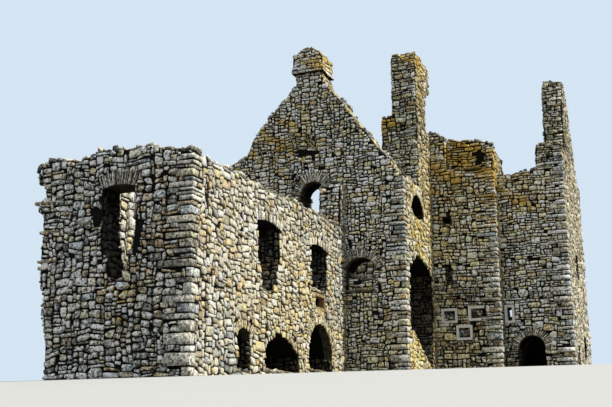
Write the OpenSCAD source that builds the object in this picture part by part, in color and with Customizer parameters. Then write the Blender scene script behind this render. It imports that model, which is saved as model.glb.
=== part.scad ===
// Ruined castle keep: an L-plan rubble tower, a square stair turret in its corner and a lower wing in front.
// Plan sizes run from the wing's left front corner: X to the right, Y away from the front, Z up.

/* [Plan] */
// Whole width, from the left wall to the right gable wall
plan_w = 16600; // [15600:100:18000]
// Length of the lower wing in front of the tower
wing_len = 16200; // [15600:100:18000]
// Width of the lower wing
wing_w = 6500; // [6000:100:7200]
// Width of the tower's front gable wall
gable_w = 9600; // [9200:100:10000]
// Depth of the tower behind the wing
tower_len = 15000; // [14400:100:16500]
// Setback of the right block's front behind the gable wall
block_set = 6620; // [6300:20:6900]
// Width of the stair turret
turret_w = 3460; // [3200:20:3700]
// Depth of the stair turret
turret_len = 2950; // [2800:50:3400]
// Projection of the turret in front of the right block
turret_out = 970; // [700:10:1200]

/* [Wall thickness] */
// Wing walls
wing_t = 1100; // [900:50:1300]
// Tower walls
tower_t = 1300; // [1100:50:1500]
// Turret walls
turret_t = 750; // [600:50:850]

/* [Heights] */
// Top of the wing's vault, where its upper floor was
wing_floor = 3350; // [3300:10:3450]
// Top of the tower's vaults
tower_floor = 3500; // [3400:10:3650]
// Wall head of the wing
wing_head = 7850; // [7500:50:8300]
// Wall head of the tower's left range
tower_head = 10700; // [10500:50:11200]
// Wall head of the right block
block_head = 11800; // [11500:50:12300]
// Wall head of the turret's front wall
turret_head = 12050; // [11800:50:12600]
// Height of the front gable below its chimney
gable_top = 16000; // [15500:50:16500]
// Top of the broken right gable
right_gable_top = 17750; // [17000:50:18200]
// Unevenness of the broken wall heads
ruin = 160; // [0:10:260]
// Spacing of the points along a broken wall head
ruin_step = 850; // [600:50:1500]

/* [Wing openings] */
// Middle of the doorway in the long wall
door_y = 4300; // [3900:50:4700]
// Width of the doorway
door_w = 1170; // [900:10:1300]
// Sill of the doorway
door_sill = 350; // [200:10:500]
// Crown of the doorway
door_crown = 2020; // [1900:10:2200]
// Front edge of the broken gap in the long wall
gap_y = 6220; // [5900:20:6400]
// Length of the broken gap
gap_len = 3650; // [3200:50:3900]
// Lowest edge of the broken gap
gap_sill = 450; // [300:10:600]
// Top of the broken gap
gap_top = 2110; // [1900:10:2300]
// Middle of the wide archway in the long wall
arch_y = 12560; // [12200:20:12900]
// Width of the wide archway
arch_w = 3000; // [2600:50:3100]
// Sill of the wide archway
arch_sill = 800; // [600:10:900]
// Crown of the wide archway
arch_crown = 2950; // [2800:10:3000]
// Front edge of the long wall's front window
long_win1_y = 5540; // [5300:20:5800]
// Width of the front window
long_win1_w = 2260; // [2000:20:2400]
// Sill of the front window
long_win1_sill = 3650; // [3550:10:3800]
// Head of the front window
long_win1_head = 6590; // [6300:10:6800]
// Front edge of the long wall's back window
long_win2_y = 11440; // [11300:20:11600]
// Width of the back window
long_win2_w = 2100; // [1900:20:2200]
// Sill of the back window
long_win2_sill = 4420; // [4400:10:4600]
// Head of the back window
long_win2_head = 6590; // [6300:10:6800]
// Middle of the small window under the back window
small_win_y = 12540; // [12400:20:12700]
// Width of the small window
small_win_w = 1180; // [1000:20:1300]
// Sill of the small window
small_win_sill = 3730; // [3700:10:3780]
// Head of the small window
small_win_head = 4230; // [4150:10:4250]
// Left edge of the end wall's window
end_win_x = 2890; // [2600:20:3100]
// Width of the end window
end_win_w = 1360; // [1200:20:1500]
// Sill of the end window
end_win_sill = 3380; // [3360:10:3600]
// Head of the end window
end_win_head = 6890; // [6600:10:7000]

/* [Tower openings] */
// Middle of the gable wall's upper window
gable_win_x = 4870; // [4500:10:5200]
// Width of the upper gable window
gable_win_w = 1310; // [1100:10:1500]
// Sill of the upper gable window
gable_win_sill = 8870; // [8600:10:9200]
// Crown of the upper gable window
gable_win_crown = 10690; // [10400:10:10900]
// Middle of the gable wall's lower window, from the gable's right corner
hall_win_x = 2280; // [2250:10:2400]
// Width of the lower gable window
hall_win_w = 1550; // [1300:10:1600]
// Sill of the lower gable window
hall_win_sill = 4840; // [4600:10:5000]
// Crown of the lower gable window
hall_win_crown = 6580; // [6300:10:6800]
// Top of the rubble that partly fills the lower gable window
blocking_top = 5550; // [5200:10:5800]
// Near edge of the breach in the side wall, from the gable wall's face
breach_y = 350; // [250:10:500]
// Far edge of the breach
breach_far = 5300; // [5000:50:5400]
// Lowest point of the breach
breach_low = 1200; // [1000:50:1500]
// Crown of the breach
breach_crown = 6900; // [6500:50:7200]
// Depth of the breach's bite into the gable wall's end
breach_bite = 300; // [200:10:400]
// Middle of the side wall's window, from the gable wall's face
side_win_y = 2620; // [2500:20:2700]
// Width of the side window
side_win_w = 2400; // [2200:20:2500]
// Sill of the side window
side_win_sill = 8850; // [8600:10:9000]
// Crown of the side window
side_win_crown = 10100; // [9800:10:10150]
// Middle of the right block's cellar arch, from the turret's side
cellar_arch_x = 1430; // [1350:10:1600]
// Width of the cellar arch
cellar_arch_w = 1370; // [1200:10:1450]
// Sill of the cellar arch
cellar_arch_sill = 900; // [700:10:1100]
// Crown of the cellar arch
cellar_arch_crown = 3020; // [2900:10:3050]
// Width of the windows of the hidden walls
plain_win_w = 1400; // [1100:50:1500]
// Height of their sills above the floor
plain_win_sill = 1200; // [900:50:1400]
// Height of these windows
plain_win_h = 1900; // [1500:50:2100]
// Rise of their arches
plain_win_rise = 350; // [200:10:450]

/* [Arches and margins] */
// Height of an arch ring's stones
ring_h = 300; // [200:10:320]
// Depth of an arch ring behind the wall's face
ring_d = 350; // [250:10:500]
// Width of an arch stone along the arch
arch_stone = 300; // [240:10:420]
// Width of the open joints between arch stones
joint_w = 25; // [10:5:40]
// Depth of these joints
joint_d = 40; // [20:5:80]
// Width of a dressed margin
margin_w = 130; // [100:10:140]
// Depth of a dressed margin in the wall
margin_d = 260; // [180:10:400]
// How far a margin stands out of the wall
margin_out = 40; // [20:5:80]

/* [Vaults] */
// Springing height of the wing's vault
wing_spring = 2200; // [2150:10:2400]
// Springing height of the tower's vaults
tower_spring = 1500; // [1300:10:1900]
// Stone over the crown of a vault
vault_cover = 400; // [300:10:450]

/* [Chimneys] */
// Left edge of the front gable chimney
gable_stack_x = 4000; // [3800:20:4200]
// Width of the front gable chimney
gable_stack_w = 1280; // [1100:20:1500]
// Height of its shaft over the gable
gable_stack_h = 650; // [550:10:1200]
// Height of its head
gable_cap_h = 1250; // [1000:10:1500]
// How far the head stands out
cap_out = 160; // [100:10:240]
// Front face of the side chimney, from the gable wall's face
side_stack_y = 3050; // [3000:10:3200]
// Depth of the side chimney
side_stack_d = 1950; // [1700:10:2150]
// Top of its shaft
side_stack_top = 16150; // [15600:50:16600]
// Height of the side chimney's head
side_cap_h = 2050; // [1800:50:2300]
// How far that head stands out behind
side_cap_out = 1000; // [700:50:1200]
// Width of the lower flue beside the side chimney
flue_w = 600; // [500:50:900]
// Top of the lower flue
flue_top = 14650; // [14200:50:15000]

/* [Panels] */
// Width of each stone panel between its margins
panel_w = 600; // [520:10:640]
// Height of each stone panel
panel_h = 520; // [440:10:560]
// Depth of the panel behind the wall's face
panel_d = 180; // [120:10:240]

/* [Hidden] */

// Facets of a round cut
$fn = 300;
// A cutter reaches this far past a face
past = 50;
// Lines of the plan
plan_len = wing_len + tower_len;
side_x = gable_w - tower_t;
block_y = wing_len + block_set;
block_in_y = block_y + tower_t;
back_y = plan_len - tower_t;
right_x = plan_w - tower_t;
turret_y = block_y - turret_out;
turret_x2 = gable_w + turret_w;
turret_y2 = turret_y + turret_len;
gable_back_y = wing_len + tower_t;
// Top of the front gable's chimney shaft
gable_stack_top = gable_top + gable_stack_h;
// The wing wall's stump against the gable: its length, its bed and its broken top
stub_len = 620;
stub_y = wing_len - stub_len;
stub_lean = 110;
stub_bed = wing_head + 240;
stub_low = wing_head + 2330;
stub_high = wing_head + 2520;
// Stages of the right gable
shoulder_h = block_head + 1400;
far_h = block_head + 800;
// Level of the side wall's upper part, just over the vault
side_bed = tower_floor + 200;
// Height of an upper storey of the tower
storey = 4000;

// A broken edge: points from a to b that step up and down by a fixed rule
coarse_share = 0.6;
function wander(k) = sin(k * 127) * coarse_share + sin(k * 53 + 40) * (1 - coarse_share);
function broken(a, b, seed, rough = ruin) =
    let (n = max(2, round(norm(b - a) / ruin_step)))
    [for (i = [0:n]) a + (b - a) * i / n + [0, (i == 0 || i == n) ? 0 : rough * wander(i + seed)]];

// Places a flat shape drawn in X and Z, standing from y to y + t
module across(y, t) {
    translate([0, y + t, 0]) rotate([90, 0, 0]) linear_extrude(t) children();
}

// Places a flat shape drawn in Y and Z, standing from x to x + t
module along(x, t) {
    translate([x, 0, 0]) rotate([90, 0, 90]) linear_extrude(t) children();
}

// Rise of a round arch as a share of half its width: a little under a half circle
round_share = 0.95;
// Depth of an arch ring's bed below the springing
ring_bed = 70;
// Overlap of an opening's straight part and its arch
lap = 20;

// Arch radius from its width, springing and crown
function arch_r(w, spring, crown) = let (h = crown - spring) (h * h + w * w / 4) / (2 * h);
function arch_spring(w, crown, rise) = crown - min(rise, round_share * w / 2);

// Number of stones in an arch: odd, so that one of them is the keystone
function arch_half(w, r) = asin(min(1, w / (2 * r)));
function stone_count(w, r) = 2 * floor(arch_half(w, r) * PI / 180 * r / arch_stone) + 1;

// An arched opening
module arched(mid, w, sill, crown, rise) {
    spring = arch_spring(w, crown, rise);
    r = arch_r(w, spring, crown);
    translate([mid - w / 2, sill]) square([w, spring - lap - sill]);
    intersection() {
        translate([mid, crown - r]) circle(r);
        translate([mid - w / 2, spring - 2 * lap]) square([w, crown - spring + 3 * lap]);
    }
}

// What an arch and its ring of stones fill, down to the flat bed that the ring stands on
module arch_seat(mid, w, crown, rise) {
    spring = arch_spring(w, crown, rise);
    r = arch_r(w, spring, crown);
    intersection() {
        translate([mid, crown - r]) circle(r + ring_h);
        translate([mid - w, spring - ring_bed]) square([2 * w, crown - spring + 2 * ring_h]);
    }
}

// The ring of stones over an arch
module arch_band(mid, w, crown, rise) {
    difference() {
        arch_seat(mid, w, crown, rise);
        arched(mid, w, arch_spring(w, crown, rise) - 2 * ring_bed, crown, rise);
    }
}

// The open joints between the stones of an arch, which point at its centre
module arch_joints(mid, w, crown, rise) {
    spring = arch_spring(w, crown, rise);
    r = arch_r(w, spring, crown);
    half = arch_half(w, r);
    n = stone_count(w, r);
    for (i = [1:n - 1])
        translate([mid, crown - r]) rotate(half * (2 * i / n - 1))
            translate([-joint_w / 2, r - past]) square([joint_w, ring_h + 2 * past]);
}

// A square frame round an opening
module frame_band(x, z, w, h, band) {
    difference() {
        translate([x - band, z - band]) square([w + 2 * band, h + 2 * band]);
        translate([x, z]) square([w, h]);
    }
}

// The half round or flatter vault over a room, drawn across its span, from a to b
module vault_profile(a, b, spring, top) {
    crown = top - vault_cover;
    r = arch_r(b - a, spring, crown);
    difference() {
        translate([a, spring - lap]) square([b - a, top - spring + lap]);
        translate([(a + b) / 2, crown - r]) circle(r);
    }
}

// A slit that widens inwards through a wall across Y
module slit_across(x, y, t, z, w, h, splay) {
    translate([x, 0, z]) linear_extrude(h) polygon([
        [-w / 2, y - past], [w / 2, y - past], [w / 2, y],
        [w / 2 + splay, y + t + past], [-w / 2 - splay, y + t + past], [-w / 2, y]]);
}

// Rise of the arches
door_rise = 320;
wide_rise = round_share * arch_w / 2;
gable_win_rise = round_share * gable_win_w / 2;
hall_win_rise = 560;
cellar_rise = round_share * cellar_arch_w / 2;
side_win_rise = 800;

// Wing
module door_shape() { arched(door_y, door_w, door_sill, door_crown, door_rise); }
module wide_arch_shape() { arched(arch_y, arch_w, arch_sill, arch_crown, wide_rise); }

// Outline of the broken gap, as shares of its length and height
gap_rise = [[0.02, 0.6], [0.35, 1]];
gap_fall = [[0.6, 0.96], [0.98, 0.54]];

module gap_shape() {
    h = gap_top - gap_sill;
    up = [for (p = gap_rise) [gap_y + gap_len * p[0], gap_sill + h * p[1]]];
    down = [for (p = gap_fall) [gap_y + gap_len * p[0], gap_sill + h * p[1]]];
    polygon(concat([[gap_y, gap_sill]], broken(up[0], up[1], 2), broken(down[0], down[1], 5),
        [[gap_y + gap_len, gap_sill]]));
}

// Edge of a fallen window: share of its sill's cut-in, then share of its height, from the head down
fallen_left = [[0, 1], [0, 0.45], [0.5, 0.26], [1, 0]];
fallen_right = [[1, 0], [0.4, 0.3], [0, 0.5], [0, 1]];

// A window whose sill has fallen: full width at the head, narrow where the stones broke away below
module fallen_window(x, w, sill, head, cut) {
    h = head - sill;
    polygon(concat(
        [for (p = fallen_left) [x + cut[0] * p[0], sill + h * p[1]]],
        [for (p = fallen_right) [x + w - cut[1] * p[0], sill + h * p[1]]]));
}

// How far the sill of each fallen window is cut in at its two sides
end_cut = [420, 400];
long1_cut = [500, 700];
long2_cut = [100, 200];

module end_window_shape() {
    fallen_window(end_win_x, end_win_w, end_win_sill, end_win_head, end_cut);
}

// The lintel bears on the wall by this much at each end
lintel_bearing = 260;
lintel_h = 240;

module end_lintel_shape() {
    translate([end_win_x - lintel_bearing, end_win_head])
        square([end_win_w + 2 * lintel_bearing, lintel_h]);
}

// Heights of the wing's front wall head over its side walls: left corner, then left and right of the middle
end_head = [150, 350, 300];
// The stretch between them, as shares of the wing's width
end_rise = [0.55, 0.62];
// Height of the long wall's head over or under the wing's head, at its front
long_head = -40;
// Heights of the left wall's head, at its front and back
left_head = [150, 100];

// Its left corner has lost its stones: how far the edge is cut in, with the share of the wing's height
robbed_edge = [[750, 0], [720, 0.16], [540, 0.31], [570, 0.38], [350, 0.45], [330, 0.6], [410, 0.69],
               [320, 0.77], [90, 0.79], [120, 0.83], [430, 0.85], [380, 0.91], [60, 0.93]];

module wing_end_wall() {
    color([0.46, 0.45, 0.42]) across(0, wing_t) difference() {
        polygon(concat([[wing_w, 0]], [for (p = robbed_edge) [p[0], wing_head * p[1]]],
            broken([0, wing_head + end_head[0]], [wing_w * end_rise[0], wing_head + end_head[1]], 3),
            broken([wing_w * end_rise[1], wing_head + end_head[2]], [wing_w, wing_head], 8)));
        end_window_shape();
        end_lintel_shape();
    }
}

module wing_end_lintel() {
    color([0.5, 0.48, 0.44]) across(0, wing_t) end_lintel_shape();
}

module wing_long_wall_ground() {
    color([0.72, 0.67, 0.55]) difference() {
        along(wing_w - wing_t, wing_t) difference() {
            translate([wing_t, 0]) square([wing_len - wing_t, wing_floor]);
            door_shape();
            gap_shape();
            wide_arch_shape();
        }
        along(wing_w - ring_d, ring_d + past) arch_seat(arch_y, arch_w, arch_crown, wide_rise);
        along(wing_w - ring_d, ring_d + past) arch_seat(door_y, door_w, door_crown, door_rise);
    }
}

// A ring of stones in a wall that faces +X, with open joints in its face
module ring_along(face_x, mid, w, crown, rise) {
    difference() {
        along(face_x - ring_d, ring_d) arch_band(mid, w, crown, rise);
        along(face_x - joint_d, joint_d + past) arch_joints(mid, w, crown, rise);
    }
}

// The same in a wall that faces the front
module ring_across(face_y, mid, w, crown, rise) {
    difference() {
        across(face_y, ring_d) arch_band(mid, w, crown, rise);
        across(face_y - past, joint_d + past) arch_joints(mid, w, crown, rise);
    }
}

module wing_arch_ring() {
    color([0.66, 0.6, 0.48]) ring_along(wing_w, arch_y, arch_w, arch_crown, wide_rise);
}

module wing_door_ring() {
    color([0.66, 0.6, 0.48]) ring_along(wing_w, door_y, door_w, door_crown, door_rise);
}

module small_window_band() {
    h = small_win_head - small_win_sill;
    frame_band(small_win_y - small_win_w / 2, small_win_sill, small_win_w, h, margin_w);
}

module wing_long_wall_upper() {
    color([0.78, 0.74, 0.63]) difference() {
        along(wing_w - wing_t, wing_t) difference() {
            polygon(concat([[wing_len, wing_floor], [wing_t, wing_floor]],
                broken([wing_t, wing_head + long_head], [stub_y, stub_bed], 4, ruin / 2),
                [[wing_len, stub_bed]]));
            fallen_window(long_win1_y, long_win1_w, long_win1_sill, long_win1_head, long1_cut);
            fallen_window(long_win2_y, long_win2_w, long_win2_sill, long_win2_head, long2_cut);
            translate([small_win_y - small_win_w / 2, small_win_sill])
                square([small_win_w, small_win_head - small_win_sill]);
        }
        along(wing_w - margin_d, margin_d + past) small_window_band();
    }
}

module small_window_margin() {
    color([0.86, 0.7, 0.36]) along(wing_w - margin_d, margin_d + margin_out) small_window_band();
}

module wing_stub() {
    color([0.76, 0.72, 0.6]) along(wing_w - wing_t, wing_t) polygon(concat(
        [[wing_len, stub_bed], [stub_y, stub_bed]],
        broken([stub_y + stub_lean, stub_low], [wing_len, stub_high], 6)));
}

module plain_window(mid, floor_z) {
    sill = floor_z + plain_win_sill;
    arched(mid, plain_win_w, sill, sill + plain_win_h, plain_win_rise);
}

// Distance of the wing's hidden back window from the gable
left_win_end = 3560;

module wing_left_wall() {
    color([0.6, 0.57, 0.5]) along(0, wing_t) difference() {
        polygon(concat([[wing_len, 0], [wing_t, 0]],
            broken([wing_t, wing_head + left_head[0]], [wing_len, wing_head + left_head[1]], 9)));
        plain_window(wing_len / 2, wing_floor);
        plain_window(wing_len - left_win_end, wing_floor);
    }
}

module wing_vault() {
    color([0.4, 0.38, 0.34]) difference() {
        across(wing_t, wing_len - wing_t) vault_profile(wing_t, wing_w - wing_t, wing_spring, wing_floor);
        along(wing_w / 2, wing_w / 2) wide_arch_shape();
    }
}

// Gable wall: its left eaves, the foot of its left skew, and its shoulder beside the chimney
eaves_w = 1100;
eaves_h = [11950, 12350];
skew_foot = [1440, 13230];
stack_foot_left = 60;
stack_foot_right = 260;
stack_foot_drop = 60;
skew_end = 200;
skew_left = [skew_foot, [gable_stack_x - stack_foot_left, gable_top]];
skew_right = [[gable_stack_x + gable_stack_w + stack_foot_right, gable_top - stack_foot_drop],
              [gable_w - skew_end, tower_head]];
hall_win_mid = gable_w - hall_win_x;

module gable_window_shape() {
    arched(gable_win_x, gable_win_w, gable_win_sill, gable_win_crown, gable_win_rise);
}
module hall_window_shape() { arched(hall_win_mid, hall_win_w, hall_win_sill, hall_win_crown, hall_win_rise); }

// Broken outline of the breach, as shares of its length and height
breach_edge = [[0, 0.36], [0.03, 0.72], [0.18, 0.9], [0.38, 1], [0.75, 0.97], [0.95, 0.88],
               [1, 0.58], [0.94, 0.22], [0.86, 0], [0.6, 0.12], [0.29, 0.25]];

// The breach in the side wall, drawn in Y and Z
module breach_shape() {
    rise = breach_crown - breach_low;
    reach = breach_far - breach_y;
    translate([wing_len + breach_y, breach_low])
        polygon([for (p = breach_edge) [reach * p[0], rise * p[1]]]);
}

// The breach through the side wall and into the vault behind it
module breach_cut() {
    along(side_x - tower_t, 2 * tower_t + past) breach_shape();
}

// Foot and height of its near side, as shares of the breach's height
notch_foot = 0.3;
notch_share = 0.58;

// Its near side, which bites a wedge out of the gable wall's end
module breach_notch() {
    rise = breach_crown - breach_low;
    translate([0, 0, breach_low + rise * notch_foot]) linear_extrude(rise * notch_share) polygon([
        [gable_w + past, wing_len + breach_y], [gable_w + past, gable_back_y + past],
        [gable_w - breach_bite, gable_back_y + past]]);
}

module gable_wall() {
    color([0.45, 0.44, 0.41]) difference() {
        across(wing_len, tower_t) difference() {
            polygon(concat([[gable_w, 0], [0, 0]],
                broken([0, eaves_h[0]], [eaves_w, eaves_h[1]], 2),
                broken(skew_left[0], skew_left[1], 5),
                broken(skew_right[0], skew_right[1], 7, ruin / 2),
                [[gable_w, tower_head]]));
            gable_window_shape();
            hall_window_shape();
        }
        across(wing_len - past, ring_d + past) {
            arch_seat(gable_win_x, gable_win_w, gable_win_crown, gable_win_rise);
            arch_seat(hall_win_mid, hall_win_w, hall_win_crown, hall_win_rise);
        }
        breach_notch();
    }
}

module gable_window_ring() {
    color([0.5, 0.48, 0.44]) ring_across(wing_len, gable_win_x, gable_win_w, gable_win_crown, gable_win_rise);
}

module hall_window_ring() {
    color([0.5, 0.48, 0.44]) ring_across(wing_len, hall_win_mid, hall_win_w, hall_win_crown, hall_win_rise);
}

// The rubble that fills the lower window's foot stands back from the face and slopes a little
blocking_set = 280;
blocking_t = 500;
blocking_slope = 150;

module hall_window_blocking() {
    h = blocking_top - hall_win_sill;
    color([0.38, 0.37, 0.34]) across(wing_len + blocking_set, blocking_t)
        translate([hall_win_mid - hall_win_w / 2, hall_win_sill])
            polygon(concat([[hall_win_w, 0], [0, 0]], broken([0, h + blocking_slope], [hall_win_w, h], 4)));
}

// The sloping course of slabs that shed water off the old wing roof: its two ends and its section
drip_top = [4420, 13060];
drip_foot = [5060, 12320];
drip_h = 120;
drip_out = 120;

module roof_drip_course() {
    color([0.62, 0.55, 0.34]) across(wing_len - drip_out, drip_out)
        polygon([drip_top + [0, drip_h], drip_top, drip_foot, drip_foot + [0, drip_h]]);
}

module gable_chimney() {
    color([0.44, 0.43, 0.4]) across(wing_len, tower_t)
        polygon([[gable_stack_x - stack_foot_left, gable_top], [gable_stack_x, gable_stack_top],
                 [gable_stack_x + gable_stack_w, gable_stack_top],
                 [gable_stack_x + gable_stack_w + stack_foot_right, gable_top - stack_foot_drop]]);
}

// Height of the ledge under the gable chimney's head, and how far it stands out past the head
ledge_h = 130;
ledge_out = 70;
// Worn top of the head, as shares of its width and height, from right to left
cap_edge = [[1, 0.66], [0.9, 0.86], [0.7, 0.93], [0.55, 1], [0.3, 0.97], [0.12, 0.84], [0, 0.7]];

module gable_chimney_head() {
    w = gable_stack_w + 2 * cap_out;
    d = tower_t + 2 * cap_out;
    color([0.55, 0.5, 0.36]) translate([gable_stack_x - cap_out, wing_len - cap_out, gable_stack_top]) {
        translate([-ledge_out, -ledge_out, 0]) cube([w + 2 * ledge_out, d + 2 * ledge_out, ledge_h]);
        across(0, d) polygon(concat([[0, 0], [w, 0]], [for (p = cap_edge) [w * p[0], gable_cap_h * p[1]]]));
    }
}

// Side wall of the left range
module side_wall_ground() {
    color([0.74, 0.69, 0.56]) difference() {
        along(side_x, tower_t) translate([gable_back_y, 0])
            square([block_in_y - gable_back_y, side_bed]);
        breach_cut();
    }
}

module side_window_shape() {
    arched(wing_len + side_win_y, side_win_w, side_win_sill, side_win_crown, side_win_rise);
}

// Heights of the side wall over its head behind the chimney, where it meets the turret and where it ends
side_rise_top = [3650, 3050, 2700];

module side_wall_upper() {
    behind_y = wing_len + side_stack_y + side_stack_d;
    color([0.78, 0.73, 0.6]) difference() {
        along(side_x, tower_t) difference() {
            polygon([[gable_back_y, side_bed], [block_in_y, side_bed],
                [block_in_y, tower_head + side_rise_top[2]], [turret_y, tower_head + side_rise_top[1]],
                [behind_y, tower_head + side_rise_top[0]], [behind_y, tower_head],
                [gable_back_y, tower_head]]);
            side_window_shape();
        }
        breach_cut();
    }
}

module side_chimney() {
    color([0.5, 0.48, 0.43]) along(side_x, tower_t)
        translate([wing_len + side_stack_y, tower_head]) square([side_stack_d, side_stack_top - tower_head]);
}

// Corbel under the back of the side chimney's head: shares of its reach, with their heights
side_corbel = [[0.4, 350], [1, 600]];
// Worn front corner of the head: its width and height
side_cap_wear = [250, 200];

module side_chimney_head() {
    color([0.56, 0.5, 0.36]) along(side_x, tower_t) translate([wing_len + side_stack_y, side_stack_top])
        polygon(concat([[0, 0], [side_stack_d, 0]],
            [for (p = side_corbel) [side_stack_d + side_cap_out * p[0], p[1]]],
            [[side_stack_d + side_cap_out, side_cap_h], [side_cap_wear[0], side_cap_h],
             [0, side_cap_h - side_cap_wear[1]]]));
}

// The flue's foot is corbelled out of the wall, over the side window
flue_foot = 200;
flue_corbel_h = 700;
flue_wear = 90;
// How much of its width the worn top takes
flue_worn = 0.4;

module side_chimney_flue() {
    foot_z = side_win_crown + flue_foot;
    color([0.48, 0.46, 0.4]) across(wing_len + side_stack_y, side_stack_d) translate([side_x - flue_w, 0])
        polygon([[flue_w, foot_z], [flue_w, flue_top], [flue_w * flue_worn, flue_top],
                 [0, flue_top - flue_wear], [0, foot_z + flue_corbel_h]]);
}

// Outer walls of the tower: heads at the gable and at the back corner, and the places of their windows
left_rise = 700;
back_low = tower_head - 200;
left_bay = 3200;
back_bays = [5300, 4800];

module tower_left_wall() {
    color([0.58, 0.55, 0.48]) along(0, tower_t) difference() {
        polygon(concat([[back_y, 0], [gable_back_y, 0]],
            broken([gable_back_y, tower_head + left_rise], [back_y, back_low], 11)));
        for (f = [tower_floor, tower_floor + storey])
            for (y = [gable_back_y + left_bay, back_y - left_bay])
                plain_window(y, f);
    }
}

module tower_back_wall() {
    color([0.55, 0.52, 0.45]) across(back_y, tower_t) difference() {
        polygon(concat([[plan_w, 0], [0, 0]],
            broken([0, back_low], [plan_w, far_h], 14)));
        for (x = [back_bays[0], plan_w - back_bays[1]])
            for (f = [tower_floor, tower_floor + storey])
                plain_window(x, f);
    }
}

// The vaults meet in a groin: the left one's hollow, a little smaller, runs on to the crown of the back one.
// The cellar arch cuts in beside it
module left_vault() {
    color([0.4, 0.38, 0.34]) difference() {
        across(gable_back_y, block_in_y - gable_back_y)
            vault_profile(tower_t, side_x, tower_spring, tower_floor);
        breach_cut();
    }
}

module back_vault() {
    crown = tower_floor - vault_cover;
    r = arch_r(side_x - tower_t, tower_spring, crown);
    color([0.4, 0.38, 0.34]) difference() {
        along(tower_t, right_x - tower_t) vault_profile(block_in_y, back_y, tower_spring, tower_floor);
        across(block_in_y - past, (back_y - block_in_y) / 2 + past)
            translate([(tower_t + side_x) / 2, crown - r]) circle(r - lap);
        across(block_in_y - past, (back_y - block_in_y) / 2 + past) cellar_arch_shape();
        translate([gable_w, block_in_y - past, 0])
            cube([turret_w, turret_y2 - block_in_y + past, tower_floor + past]);
    }
}

// Stair turret
turret_x1 = gable_w;
turret_in_y = turret_y + turret_t;
turret_back_y = turret_y2 - turret_t;

module panel_recess(x, z) {
    translate([x - margin_w, turret_y - past, z - margin_w])
        cube([panel_w + 2 * margin_w, panel_d + past, panel_h + 2 * margin_w]);
}

// Left and lower edge of each panel, from the turret's left side
panel_left = [500, 3890];
panel_right = [1940, 3960];
panel_low = [1270, 2970];
// The turret's slits: middle from its left side, foot, width, height and splay
cross_slit = [840, 8990, 520, 460, 120];
cross_slit_top = [860, 9400, 130, 390, 120];
low_slit = [870, 5770, 300, 1070, 150];
// Heights of its broken walls over the sill where the front wall's outer half has fallen, from left to right
front_rise = [2350, 1900, 1450, 1150];
// Widths of the piers left standing at its two sides, and how far the fallen part is set back
pier_left = 850;
pier_right = 340;
fallen_d = 400;
front_drop = 100;
// The open joint beside the left pier: its width and depth
front_joint = [90, 600];
side_rise = [1150, 1000];
back_rise = [1500, 1300, 900];
back_break = 600;
// The doorways at its back: width, height and rise
stair_door_w = 900;
stair_door_h = 2000;
stair_door_rise = 250;
stair_door_sill = 300;

// The part of the front wall whose outer half has fallen
module fallen_front() {
    x1 = turret_x1 + pier_left;
    x2 = turret_x2 - pier_right;
    polygon(concat(broken([x1, turret_head], [x2, turret_head - front_drop], 5, ruin / 2),
        [[x2, turret_head + front_rise[0]], [x1, turret_head + front_rise[0]]]));
}

module turret_front_wall() {
    color([0.47, 0.45, 0.4]) difference() {
        across(turret_y, turret_t) polygon(concat([[turret_x2, 0], [turret_x1, 0]],
            broken([turret_x1, turret_head + front_rise[0]],
                   [turret_x1 + pier_left, turret_head + front_rise[1]], 3, ruin / 2),
            broken([turret_x1 + pier_left + front_joint[0], turret_head + front_rise[1]],
                   [turret_x2 - pier_right, turret_head + front_rise[2]], 7, ruin / 2),
            [[turret_x2, turret_head + front_rise[3]]]));
        across(turret_y - past, fallen_d + past) fallen_front();
        translate([turret_x1 + pier_left, turret_y - past, turret_head])
            cube([front_joint[0], front_joint[1] + past, front_rise[0]]);
        for (p = [panel_left, panel_right, panel_low])
            panel_recess(turret_x1 + p[0], p[1]);
        for (s = [cross_slit, cross_slit_top, low_slit])
            slit_across(turret_x1 + s[0], turret_y, turret_t, s[1], s[2], s[3], s[4]);
    }
}

module turret_left_wall() {
    color([0.5, 0.47, 0.4]) translate([turret_x1, turret_in_y, 0])
        cube([turret_t, turret_back_y - turret_in_y, turret_head + back_rise[0]]);
}

module turret_right_wall() {
    color([0.72, 0.66, 0.52]) along(turret_x2 - turret_t, turret_t) polygon(concat(
        [[turret_back_y, 0], [turret_in_y, 0]],
        broken([turret_in_y, turret_head + side_rise[0]],
               [turret_back_y, turret_head + side_rise[1]], 6, ruin / 2)));
}

module turret_back_wall() {
    color([0.55, 0.45, 0.25]) across(turret_back_y, turret_t) difference() {
        polygon(concat([[turret_x2, 0], [turret_x1, 0]],
            broken([turret_x1, turret_head + back_rise[0]],
                   [turret_x2 - back_break, turret_head + back_rise[1]], 4, ruin / 2),
            [[turret_x2, turret_head + back_rise[2]]]));
        for (z = [stair_door_sill, tower_floor])
            arched(turret_x1 + turret_w / 2, stair_door_w, z, z + stair_door_h, stair_door_rise);
    }
}

module panel_frame(p) {
    color([0.8, 0.75, 0.64]) across(turret_y - margin_out, panel_d + margin_out)
        frame_band(turret_x1 + p[0], p[1], panel_w, panel_h, margin_w);
}

module panel_frame_left() { panel_frame(panel_left); }
module panel_frame_low() { panel_frame(panel_low); }

// The right frame has lost its right jamb
module panel_frame_right() {
    p = panel_right;
    color([0.8, 0.75, 0.64]) across(turret_y - margin_out, panel_d + margin_out) difference() {
        frame_band(turret_x1 + p[0], p[1], panel_w, panel_h, margin_w);
        translate([turret_x1 + p[0] + panel_w, p[1]]) square([margin_w, panel_h]);
    }
}

// Right block: its slit, and the step of its wall head up to the right gable
slit_x = turret_x2 + 350;
slit_z = 3850;
slit_w = 260;
slit_h = 720;
slit_splay = 200;
step_left = 60;
step_right = 20;
step_rise = 50;

module cellar_arch_shape() {
    arched(turret_x2 + cellar_arch_x, cellar_arch_w, cellar_arch_sill, cellar_arch_crown, cellar_rise);
}

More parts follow.
